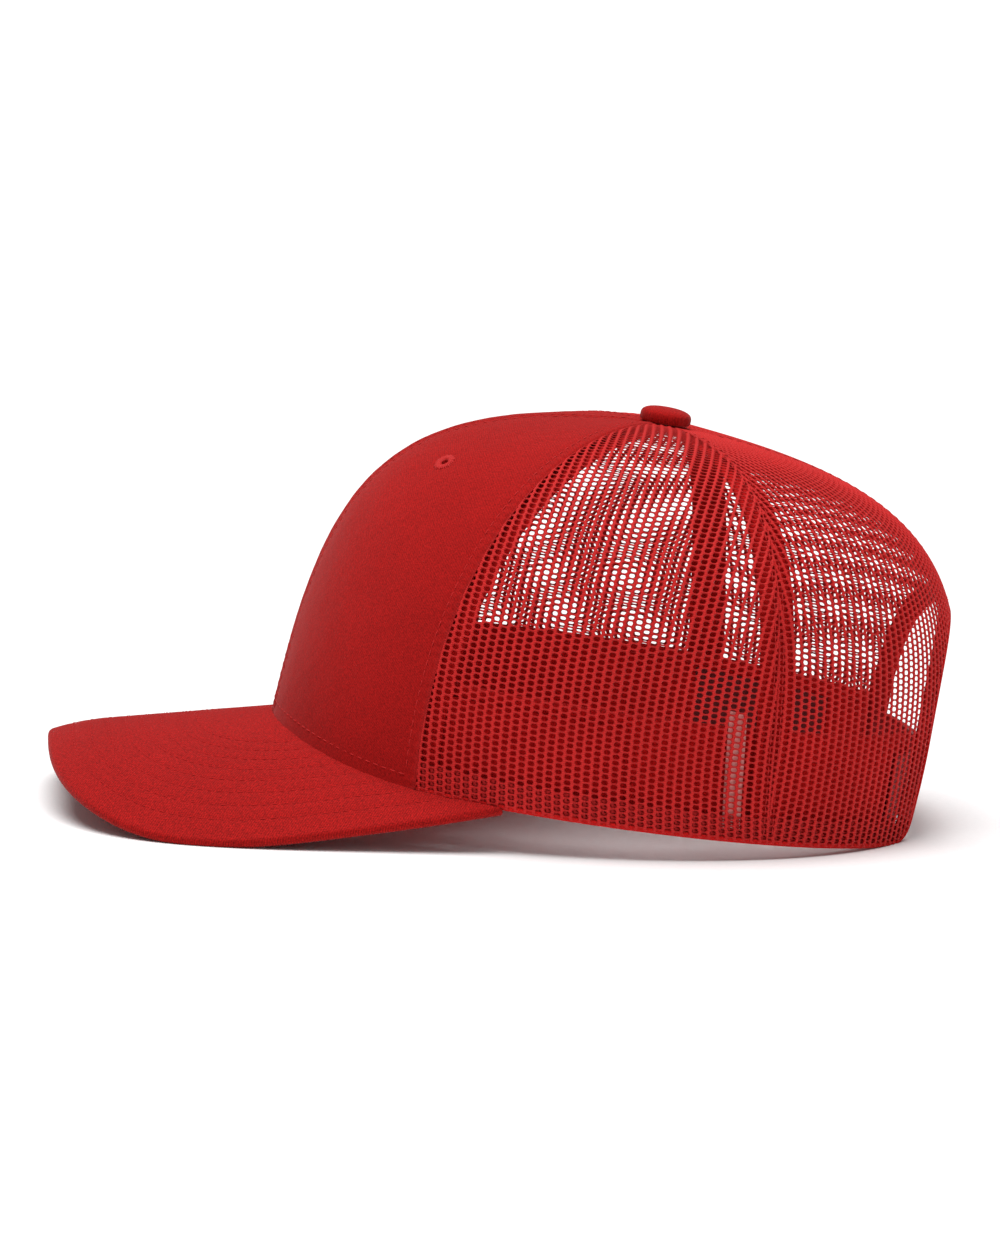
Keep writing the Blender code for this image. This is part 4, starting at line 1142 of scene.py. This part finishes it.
def build_sweatband():
    """Band sewn to the rim, standing off the wall to leave room for the foam."""
    rises, angles = np.meshgrid(np.linspace(0, 1, 29),
                                np.linspace(-SWEATBAND_REACH, SWEATBAND_REACH, 341), indexing="ij")
    shares = share_above_rim(angles[0], SWEATBAND_HEIGHT)[None] * rises
    leave = np.clip(rises * SWEATBAND_HEIGHT / SWEATBAND_FLARE, 0, 1)
    leave = leave * leave * (3 - 2 * leave)
    depth = SWEATBAND_FOOT + (SWEATBAND_DEPTH - SWEATBAND_FOOT) * leave
    height, waves = SWEATBAND_RIPPLE
    depth += height * np.sin(np.radians(angles) * waves) * np.sin(rises * math.pi) ** 2
    outer = crown_inside(angles, shares, depth)
    inner = crown_inside(angles, shares, depth + SWEATBAND_THICKNESS)
    for points in (outer, inner):
        lift_to(points, SWEATBAND_CLEARANCE)
    piece = slab("sweatband_cloth", outer, inner, BAND_TWILL, cloth_uv(outer))
    finish_sheet(piece, "sweatband", "sweatband")
    thread = Thread()
    for share, radius in SWEATBAND_ROWS:
        row = int(round(share * (len(rises) - 1)))
        face = crown_inside(angles[row], shares[row], depth[row] + SWEATBAND_THICKNESS)
        thread.row(face, -crown_normal(angles[row], shares[row]), radius)
    thread.finish("sweatband_stitches")
    build_padding()


def build_padding():
    """Foam behind the band, thinner towards its long edges."""
    rises, angles = np.meshgrid(np.linspace(0, 1, 15),
                                np.linspace(-PADDING_REACH, PADDING_REACH, 181), indexing="ij")
    low, high = (share_above_rim(angles[0], rise) for rise in PADDING_RISES)
    shares = low[None] + (high - low)[None] * rises
    edge = np.minimum(rises, 1 - rises) * (PADDING_RISES[1] - PADDING_RISES[0])
    rounding = np.sqrt(np.clip(edge / PADDING_ROUND, 0, 1))
    half = PADDING_THICKNESS / 2 * (PADDING_EDGE + (1 - PADDING_EDGE) * rounding)
    middle = PADDING_DEPTH + PADDING_THICKNESS / 2
    outer, inner = (crown_inside(angles, shares, depth) for depth in (middle - half, middle + half))
    piece = slab("sweatband_foam", outer, inner, FOAM, cloth_uv(outer))
    follow(piece, "foam", "sweatband_padding")


def arch_line(margin):
    """Places on the back along the arch outline grown by a margin, from foot to foot."""
    top, foot, leg = ARCH_POINTS
    turn = np.linspace(0, math.pi, top)
    across, up = np.cos(turn), np.sin(turn)
    x = np.sign(across) * np.abs(across) ** (2 / ARCH_POWER) * (ARCH_HALF_WIDTH + margin)
    z = ARCH_SPRING + np.maximum(up, 0) ** (2 / ARCH_POWER) * (ARCH_TOP - ARCH_SPRING + margin)
    bend = np.linspace(0, math.pi / 2, foot)
    foot_x = ARCH_HALF_WIDTH + ARCH_CORNER - (ARCH_CORNER - margin) * np.sin(bend)
    foot_z = ARCH_CORNER - (ARCH_CORNER - margin) * np.cos(bend)
    leg_z = np.linspace(ARCH_CORNER, ARCH_SPRING, leg)[1:-1]
    leg_x = np.full(leg_z.shape, ARCH_HALF_WIDTH + margin)
    x = np.concatenate([foot_x, leg_x, x, -leg_x, -foot_x[::-1]])
    z = np.concatenate([foot_z, leg_z, z, leg_z[::-1], foot_z[::-1]])
    return x, z


def build_binding():
    """Tape folded in two inside the edge of the opening, and a roll that wraps the net's edge."""
    margins = np.linspace(BINDING_START, BINDING_WIDTH, 13)
    lines = [place_on_back(*arch_line(margin)) for margin in margins]
    angles, shares = (np.array(part) for part in zip(*lines))
    depth = np.full(angles.shape, MESH_TAPE_DEPTH)
    outer, inner = doubled(angles, shares, depth, BINDING_THICKNESS, 0)
    for points in (outer, inner):
        lift_to(points, BINDING_CLEARANCE)
    piece = slab("arch_tape", outer, inner, TAPE, cloth_uv(outer))
    finish_sheet(piece, "tape", "arch_binding")
    roll_depth, radius = ARCH_ROLL
    tube_along("arch_edge_roll", crown_inside(angles[0], shares[0], roll_depth), radius, TAPE,
               "tape", (0.62, 1.0), crown_normal(angles[0], shares[0]))
    thread = Thread()
    row = int(round(BINDING_ROW / BINDING_WIDTH * (len(margins) - 1)))
    crown_row(thread, angles[row], shares[row], STITCH_SINK)
    crown_row(thread, angles[row], shares[row],
              MESH_TAPE_DEPTH + 2 * BINDING_THICKNESS + FOLD_GAP, inward=True)
    thread.finish("arch_stitches")


# ================================================================ visor
def visor_height(x, y):
    """Top of the visor: a sloping ridge bent down to both sides, tighter towards the tip."""
    ridge = VISOR_ROOT_HEIGHT + VISOR_SLOPE * (y - VISOR_ROOT_Y)
    ridge = ridge - VISOR_DROOP * np.minimum(y - VISOR_DROOP_Y, 0.0) ** 2
    radius = VISOR_TIP_RADIUS + VISOR_RADIUS_GROWTH * (y - VISOR_TIP_Y)
    return ridge - radius + np.sqrt(radius ** 2 - x ** 2)


def visor_normal(x, y):
    step = 0.3 * MM
    slope_x = (visor_height(x + step, y) - visor_height(x - step, y)) / (2 * step)
    slope_y = (visor_height(x, y + step) - visor_height(x, y - step)) / (2 * step)
    return unit(np.stack([-slope_x, -slope_y, np.ones(np.shape(x))], axis=-1))


def visor_point(x, y, depth, edge_share):
    """Point a depth below the top: straight below at the crown, square to the top at the edge."""
    normal = visor_normal(x, y)
    straight = np.zeros(normal.shape)
    straight[..., 2] = 1 / normal[..., 2]
    edge_share = np.asarray(edge_share)[..., None]
    below = straight * (1 - edge_share) + normal * edge_share
    top = np.stack([x, y, visor_height(x, y)], axis=-1)
    return top - below * np.asarray(depth)[..., None]


def outline_size(direction, inset=0.0):
    """Distance from the outline's centre to the outline moved inwards, in a direction."""
    across, ahead = np.sin(direction), np.cos(direction)
    reach = np.where(ahead > 0, VISOR_REACH, VISOR_BACK_REACH) - inset
    wide = VISOR_HALF_WIDTH - inset
    return (np.abs(across / wide) ** VISOR_POWER
            + np.abs(ahead / reach) ** VISOR_POWER) ** (-1 / VISOR_POWER)


def visor_edge(turn):
    direction = np.radians(VISOR_OUTLINE_ANGLE * turn)
    size = outline_size(direction)
    return np.stack([np.sin(direction) * size, VISOR_CENTRE_Y - np.cos(direction) * size], axis=-1)


def visor_root_share(angles):
    """Share at which the visor's top meets the crown."""
    def is_under_visor(share):
        point = crown_point(angles, share)
        return point[..., 2] < visor_height(point[..., 0], point[..., 1])

    shape = np.shape(angles)
    return halve(np.zeros(shape), np.full(shape, 0.3), is_under_visor)


def visor_root(turn):
    angles = VISOR_CORNER_ANGLE * np.asarray(turn)
    share = visor_root_share(angles)
    point = crown_point(angles, share) + crown_normal(angles, share) * 0.3 * MM
    return point[..., :2]


def outline_inset(x, y):
    """How far inside the outline a plan point lies."""
    direction = np.arctan2(x, VISOR_CENTRE_Y - y)
    distance = np.hypot(x, VISOR_CENTRE_Y - y)
    return halve(np.full(np.shape(x), -2 * MM), np.full(np.shape(x), 74 * MM),
                 lambda inset: outline_size(direction, inset) > distance)


def furrows(x, y):
    """How far the stitch rows pull the cloth in."""
    lines = (ROW_FIRST + number * ROW_PITCH for number in range(ROW_COUNT))
    inset = outline_inset(x, y)
    return sum(FURROW * dip(inset - line, FURROW_WIDTH) for line in lines)


def visor_cover(name, node, below, side):
    """Top cover, which wraps the edge, or under cover; side is +1 for the top and -1 below."""
    columns, rows = VISOR_GRID
    turns = 1 - 2 * np.arange(columns + 1) / columns
    root, edge = visor_root(turns), visor_edge(turns)
    along = unit(edge - root)
    radius = VISOR_THICKNESS / 2
    start, end = root + along * ROOT_GROWTH * below, edge - along * radius
    shares = np.linspace(0, 1, rows + 1)
    weave = start[None] + (end - start)[None] * shares[:, None, None]
    x, y = weave[..., 0], weave[..., 1]
    edge_share = np.repeat(shares[:, None], columns + 1, axis=1)
    depth = below + side * (furrows(x, y) + wander(x, y, COVER_WANDER, side))
    faces = [visor_point(x, y, level, edge_share)
             for level in (depth, depth + side * COVER_THICKNESS)]
    if side > 0:
        normal = visor_normal(end[:, 0], end[:, 1])
        ahead = np.concatenate([along, np.zeros((len(along), 1))], axis=1)
        ahead = unit(ahead - normal * (ahead * normal).sum(axis=1, keepdims=True))
        centre = visor_point(end[:, 0], end[:, 1], radius, 1.0)
        turn = np.linspace(0, math.pi * 1.02, VISOR_EDGE_STEPS + 1)[1:, None, None]
        wraps = [centre + size * (ahead * np.sin(turn) + normal * np.cos(turn))
                 for size in (radius, radius - COVER_THICKNESS)]
        faces = [np.concatenate(pair) for pair in zip(faces, wraps)]
        weave = np.concatenate([weave, end + along * radius * turn])
    else:
        *faces, weave = (points[:, ::-1] for points in (*faces, weave))
    for points in faces:
        lift_to(points, COVER_CLEARANCE)
    piece = slab(name, *faces, VISOR_SHADED_TWILL, weave)
    finish_sheet(piece, "twill", node)


def visor_rows(thread, below, side):
    """Stitch rows parallel to the outline, each from crown to crown."""
    root = visor_root(np.linspace(-1, 1, 401))
    root_x, root_y = root[:, 0], VISOR_CENTRE_Y - root[:, 1]
    directions = np.linspace(-1, 1, 900) * math.radians(VISOR_OUTLINE_ANGLE)
    nearest = np.interp(directions, np.arctan2(root_x, root_y), np.hypot(root_x, root_y))
    middle = len(directions) // 2
    for number in range(ROW_COUNT):
        size = outline_size(directions, ROW_FIRST + number * ROW_PITCH)
        blocked = np.flatnonzero(size < nearest + ROW_CLEARANCE)
        start = blocked[blocked < middle].max(initial=0) + 1
        end = blocked[blocked >= middle].min(initial=len(directions) - 1)
        if end - start < ROW_LEAST:
            continue
        x = (np.sin(directions) * size)[start:end]
        y = (VISOR_CENTRE_Y - np.cos(directions) * size)[start:end]
        path = visor_point(x, y, below + side * FURROW * 0.9, 0.8)
        lift_to(path, 2 * STITCH_RADIUS)
        thread.row(path, visor_normal(x, y) * side)


def build_visor():
    """Both covers of the board, and one piece for all their stitches."""
    thread = Thread()
    for place, below, side in (("top", 0.0, 1), ("under", VISOR_THICKNESS, -1)):
        visor_cover(f"visor_{place}_twill", f"visor_{place}_cover", below, side)
        visor_rows(thread, below, side)
    thread.finish("visor_stitching", TWILL_THREAD)


# ================================================================ button and eyelets
def spun(name, profile, steps, material, slot, place, change=None):
    """A closed profile of (radius, height) points spun round Z."""
    turn = np.arange(steps)[:, None] / steps * 2 * math.pi
    radius, height = (np.repeat(part[None], steps, axis=0) for part in np.array(profile, float).T)
    if change:
        radius, height = change(turn, radius, height)
    points = np.stack([radius * np.cos(turn), radius * np.sin(turn), height], axis=2)
    index = np.arange(steps * len(profile)).reshape(steps, len(profile))
    following = np.roll(index, -1, axis=0)
    faces = np.stack([index, np.roll(index, -1, axis=1), np.roll(following, -1, axis=1), following],
                     axis=2)
    piece = new_object(name, points.reshape(-1, 3), faces.reshape(-1, 4), material,
                       points[..., :2].reshape(-1, 2))
    piece.data.transform(place)
    piece.data.set_sharp_from_angle(angle=math.radians(45))
    follow(piece, slot)
    return piece


def build_button():
    """Cloth drawn over the shell and gathered under it, and the washer inside the crown."""
    place = (Matrix.Translation(APEX) @ Matrix.Rotation(BUTTON_TILT, 4, "X")
             @ Matrix.Translation((0.0, 0.0, BUTTON_LIFT)))
    foot, cloth, least = 1.2 * MM, 0.5 * MM, 1e-6
    dome = [(BUTTON_RADIUS * math.sin(bend) ** 0.8 + least,
             foot + (BUTTON_HEIGHT - foot) * max(math.cos(bend), 0.0) ** 0.7)
            for bend in np.linspace(0, math.pi / 2, 17)]
    tuck = [(BUTTON_RADIUS - inset * MM, height * MM)
            for inset, height in ((0.1, 0.2), (0.5, -0.45), (1.2, -0.70), (1.5, -0.3))]
    inside = [(max(radius - cloth, least), height - cloth) for radius, height in dome[::-1]]

    def pleat(turn, radius, height):
        low = np.clip(1 - height / BUTTON_HEIGHT, 0, 1) ** 2
        fold = np.sin(turn * BUTTON_PLEATS + 0.6 * np.sin(turn * 3)) * 0.10 * MM
        return radius + fold * low * (radius / BUTTON_RADIUS), height

    cover = spun("button_cloth", dome + tuck + inside, 96, TWILL, "twill", place, pleat)
    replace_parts(cover, "button_cover")
    top = -BUTTON_LIFT - WASHER_DEPTH
    low, edge, bore = top - 0.6 * MM, 0.25 * MM, 1.7 * MM
    washer = [(bore, top), (WASHER_RADIUS - edge, top), (WASHER_RADIUS, top - edge),
              (WASHER_RADIUS - edge, low), (bore, low)]
    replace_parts(spun("backing_washer", washer, 64, METAL, "metal", place), "button_washer")


def finish_nodes():
    """The CAD nodes that stay get their materials."""
    for name, slot, material in (("button_shell", "metal", METAL), ("button_rivet", "metal", METAL),
                                 ("visor_board", "board", BOARD)):
        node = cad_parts[name]
        node.data.materials.clear()
        node.data.materials.append(material)


def build_eyelets():
    """Satin stitches laid side by side round a punched hole, and the cloth lining of the hole."""
    for side, sign in SIDES:
        middle, normal = eyelet_place(sign)
        right = unit(np.cross(np.array((0.0, 0.0, 1.0)), normal))
        up = np.cross(normal, right)
        thread = Thread()
        for number in range(EYELET_STITCHES):
            turn = number / EYELET_STITCHES * 2 * math.pi
            reach = EYELET_RADIUS * (0.94 + 0.06 * math.sin(number * 2.4))
            outward = right * math.cos(turn) + up * math.sin(turn)
            spots = np.linspace(EYELET_HOLE, reach, 6)
            path = middle + outward * spots[:, None] + normal * EYELET_PROUD
            thread.stitch(path, np.repeat(normal[None], 6, axis=0), EYELET_THREAD)
        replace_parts(thread.finish(f"eyelet_stitches_{side}"), f"eyelet_{side}")
        hole = [(EYELET_HOLE + flare * MM, height * MM)
                for flare, height in ((0.35, -1.9), (0.0, -1.9), (0.0, 0.05), (0.25, 0.30))]
        turned = Vector(normal).to_track_quat("Z", "Y").to_matrix().to_4x4()
        place = Matrix.Translation(Vector(middle)) @ turned
        spun(f"eyelet_barrel_{side}", hole, 28, THREAD, "thread", place)


# ================================================================ labels
def label_grid(angles, rises, columns):
    low, high = (float(share_above_rim(angles[0], rise)) for rise in rises)
    return panel_grid(*angles, columns, 20, low, high)


def build_labels():
    """A pale care strip folded in two, and a dark label with no mark on it."""
    angles, shares = label_grid(CARE_LABEL_ANGLES, CARE_LABEL_RISES, 12)
    depth = np.full(angles.shape, MESH_TAPE_DEPTH)
    outer, inner = doubled(angles, shares, depth, 0.8 * LABEL_THICKNESS, 1)
    strip = slab("care_strip", outer, inner, PALE_LABEL, cloth_uv(outer))
    finish_sheet(strip, "label_white", "care_label")
    angles, shares = label_grid(WOVEN_LABEL_ANGLES, WOVEN_LABEL_RISES, 24)
    depth = SWEATBAND_DEPTH + SWEATBAND_THICKNESS + 0.3 * MM
    bow = 0.12 * MM * np.cos(np.linspace(-math.pi, math.pi, 25))
    label, outer = crown_layer("plain_label", angles, shares,
                               depth + np.broadcast_to(bow, angles.shape), LABEL_THICKNESS, DARK_LABEL)
    finish_sheet(label, "label_dark", "woven_label")


# ================================================================ snap straps
def strap_root_angle():
    """Pattern angle at which a strap comes out of the wall."""
    def is_outside(angle):
        share = share_at_height(angle, STRAP_MIDDLE_HEIGHT)
        wall = crown_inside(angle, share, TAB_DEPTH + STRAP_THICKNESS / 2)
        return wall[..., 0] > STRAP_HALF_SPAN

    return float(halve(np.array(2 * PANEL_ANGLE), np.array(3 * PANEL_ANGLE), is_outside))


def strap_arc(across, layer):
    """Points of the bowed strap in plan, on a circle."""
    radius = (STRAP_HALF_SPAN ** 2 + STRAP_BOW ** 2) / (2 * STRAP_BOW)
    turn = np.arcsin(across / radius)
    outward = np.stack([np.sin(turn), np.cos(turn), np.zeros(np.shape(turn))], axis=-1)
    return np.array((0.0, STRAP_BOW - radius, 0.0)) + outward * (radius + layer)


def strap_frames(sign, layer):
    """Middle line of a strap from its sewn end to its free end, its peg places and its hinge."""
    root_angle = strap_root_angle()
    share = float(share_at_height(root_angle, STRAP_MIDDLE_HEIGHT))
    wall = crown_inside(root_angle, share, TAB_DEPTH + STRAP_THICKNESS / 2)
    lean = np.array(Matrix.Rotation(-STRAP_LEAN, 3, "X"))
    hinge = np.array((sign * wall[0], wall[1], wall[2])) + lean @ np.array((0.0, layer, 0.0))
    across = sign * np.linspace(STRAP_HALF_SPAN - 2 * MM, -STRAP_OVERRUN, 110)
    root = strap_arc(sign * STRAP_HALF_SPAN, layer)
    free = hinge + (strap_arc(across, layer) - root) @ lean.T
    free_up = np.repeat((lean @ np.array((0.0, 0.0, 1.0)))[None], len(free), axis=0)
    clear = (STRAP_THICKNESS + 2 * STRAP_GAP) / float(metres_per_degree(root_angle, share))
    sewn_angles = np.linspace(root_angle - clear - TAB_ANGLE, root_angle - clear - 0.5, 30)
    low, sewn, high = (
        crown_inside(sign * sewn_angles, share_at_height(sewn_angles, STRAP_MIDDLE_HEIGHT + rise),
                     TAB_DEPTH + STRAP_THICKNESS / 2)
        for rise in (-STRAP_WIDTH / 2, 0.0, STRAP_WIDTH / 2))
    middle = np.concatenate([sewn, free])
    up = np.concatenate([unit(high - low), free_up])
    length = distances(middle)
    at = np.linspace(0, length[-1], STRAP_POINTS)
    middle, up = (read_along(at, length, part) for part in (middle, up))
    for _ in range(STRAP_SMOOTHING):
        for line in (middle, up):
            line[1:-1] = line[1:-1] / 2 + (line[:-2] + line[2:]) / 4
    slots = [at[-1] - (STRAP_OVERRUN + slot * PEG_PITCH) for slot in PEG_SLOTS]
    return at, middle, unit(up), slots, hinge


def strap_blank(name, length, slots, holed):
    """The strap laid out flat: X along it, Y across, Z through it, with its holes or pegs."""
    bpy.ops.mesh.primitive_grid_add(x_subdivisions=150, y_subdivisions=12, size=1.0)
    blank = bpy.context.object
    blank.name = name
    for vertex in blank.data.vertices:
        x = (vertex.co.x + 0.5) * length
        lost = max(STRAP_CORNER - (length - x), 0.0)
        half = STRAP_WIDTH / 2 - STRAP_CORNER + math.sqrt(max(STRAP_CORNER ** 2 - lost ** 2, 0.0))
        vertex.co = (x, vertex.co.y * 2 * half, STRAP_THICKNESS / 2)
    solid = blank.modifiers.new("Thickness", "SOLIDIFY")
    solid.thickness = STRAP_THICKNESS
    solid.offset = -1.0
    bevel = blank.modifiers.new("Edges", "BEVEL")
    bevel.width = STRAP_EDGE
    bevel.segments = 3
    bevel.limit_method = "ANGLE"
    tools = []
    for slot in slots:
        if holed:
            bpy.ops.mesh.primitive_cylinder_add(vertices=40, radius=HOLE_RADIUS, depth=10 * MM,
                                                location=(slot, 0, 0))
            tool = bpy.context.object
        else:
            tool = peg_tool(slot)
        tools.append(tool)
        cut = blank.modifiers.new("Slot", "BOOLEAN")
        cut.object = tool
        cut.operation = "DIFFERENCE" if holed else "UNION"
        cut.solver = "EXACT"
    bpy.context.view_layer.update()
    flat = bpy.data.meshes.new_from_object(blank.evaluated_get(
        bpy.context.evaluated_depsgraph_get()))
    for tool in [*tools, blank]:
        bpy.data.objects.remove(tool, do_unlink=True)
    return flat


def peg_tool(slot):
    """A peg with a mushroomed head that holds in a hole."""
    top = STRAP_THICKNESS / 2 + PEG_STAND
    profile = [(0.0, top), (PEG_HEAD * 0.6, top - 0.08 * MM), (PEG_HEAD, top - 0.55 * MM),
               (PEG_RADIUS, top - 1.0 * MM), (PEG_RADIUS, 0.0), (0.0, 0.0)]
    mesh = bpy.data.meshes.new("peg")
    edges = [(number, number + 1) for number in range(len(profile) - 1)]
    mesh.from_pydata([(radius, 0.0, height) for radius, height in profile], edges, [])
    peg = link("peg", mesh)
    peg.location = (slot, 0.0, 0.0)
    screw = peg.modifiers.new("Turn", "SCREW")
    screw.steps = screw.render_steps = 32
    screw.use_merge_vertices = True
    screw.merge_threshold = 1e-6
    return peg


def build_strap(name, sign, layer, node, tab, holed):
    """One moulding from sewn end to free end, bent to the strap's line and across its hinge."""
    at, middle, up, slots, hinge = strap_frames(sign, layer)
    flat = strap_blank(name + "_flat", at[-1], slots, holed)
    spot = np.zeros(len(flat.vertices) * 3, np.float32)
    flat.vertices.foreach_get("co", spot)
    spot = spot.reshape(-1, 3).astype(float)
    tangent = unit(np.gradient(middle, axis=0))
    outward = unit(np.cross(tangent, up)) * sign
    where, up_here, out_here = (read_along(spot[:, 0], at, part) for part in (middle, up, outward))
    bent = where + up_here * spot[:, 1:2] + out_here * spot[:, 2:3]
    flat.vertices.foreach_set("co", bent.astype(np.float32).ravel())
    half_way = STRAP_POINTS // 2
    if np.linalg.det(np.stack([tangent[half_way], up[half_way], outward[half_way]])) < 0:
        flat.flip_normals()
    flat.update()
    flat.materials.clear()
    flat.materials.append(PLASTIC)
    flat.polygons.foreach_set("use_smooth", np.ones(len(flat.polygons), bool))
    flat.set_sharp_from_angle(angle=math.radians(35))
    piece = link(name, flat)
    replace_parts(piece, node, tab)
    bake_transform(piece)


def build_straps():
    layer = (STRAP_THICKNESS + STRAP_GAP) / 2
    build_strap("peg_strap_plastic", 1.0, -layer, "snap_strap_pegs", "strap_tab_left",
                False)
    build_strap("hole_strap_plastic", -1.0, layer, "snap_strap_holes", "strap_tab_right",
                True)


# ================================================================ studio
def build_camera():
    data = bpy.data.cameras.new("camera")
    data.lens = CAMERA_LENS
    data.sensor_width = SENSOR
    data.clip_end = 100.0
    camera = link("camera", data)
    upward = CAMERA_BACK.cross(CAMERA_RIGHT).normalized()
    turn = Matrix((CAMERA_RIGHT, upward, CAMERA_BACK)).transposed().to_4x4()
    camera.matrix_world = Matrix.Translation(CAMERA_TARGET + CAMERA_BACK * CAMERA_DISTANCE) @ turn
    bpy.context.scene.camera = camera


def build_studio():
    """Even white paper under one large soft lamp from above."""
    world = bpy.data.worlds.new("studio")
    world.use_nodes = True
    backdrop = world.node_tree.nodes["Background"]
    backdrop.inputs["Color"].default_value = (1, 1, 1, 1)
    backdrop.inputs["Strength"].default_value = WORLD_LIGHT
    bpy.context.scene.world = world
    kit = Shader("floor_paper", 0.9, Specular_IOR_Level=0.1)
    grain = kit.noise(kit.space(), 2 * MM)
    kit.colour(kit.blend(grain, (0.86, 0.86, 0.86), FLOOR_WHITE))
    corners = np.array([(-1, -1, 0), (1, -1, 0), (1, 1, 0), (-1, 1, 0)]) * FLOOR_SIZE / 2.0
    floor = new_object("floor", corners, np.array([[0, 1, 2, 3]]), kit.material)
    data = bpy.data.lights.new("overhead", "SUN")
    data.energy = SUN_LIGHT
    data.angle = SUN_SOFTNESS
    lamp = link("overhead", data)
    lamp.rotation_euler = (-SUN_FROM).to_track_quat("-Z", "Y").to_euler()
    bpy.context.scene.view_settings.view_transform = "Standard"


for build in (build_camera, build_studio, build_front_panels, build_net_panels, build_seam_tapes,
              build_topstitching, build_rim, build_sweatband, build_binding, build_visor,
              build_button, finish_nodes, build_eyelets, build_labels, build_straps):
    build()
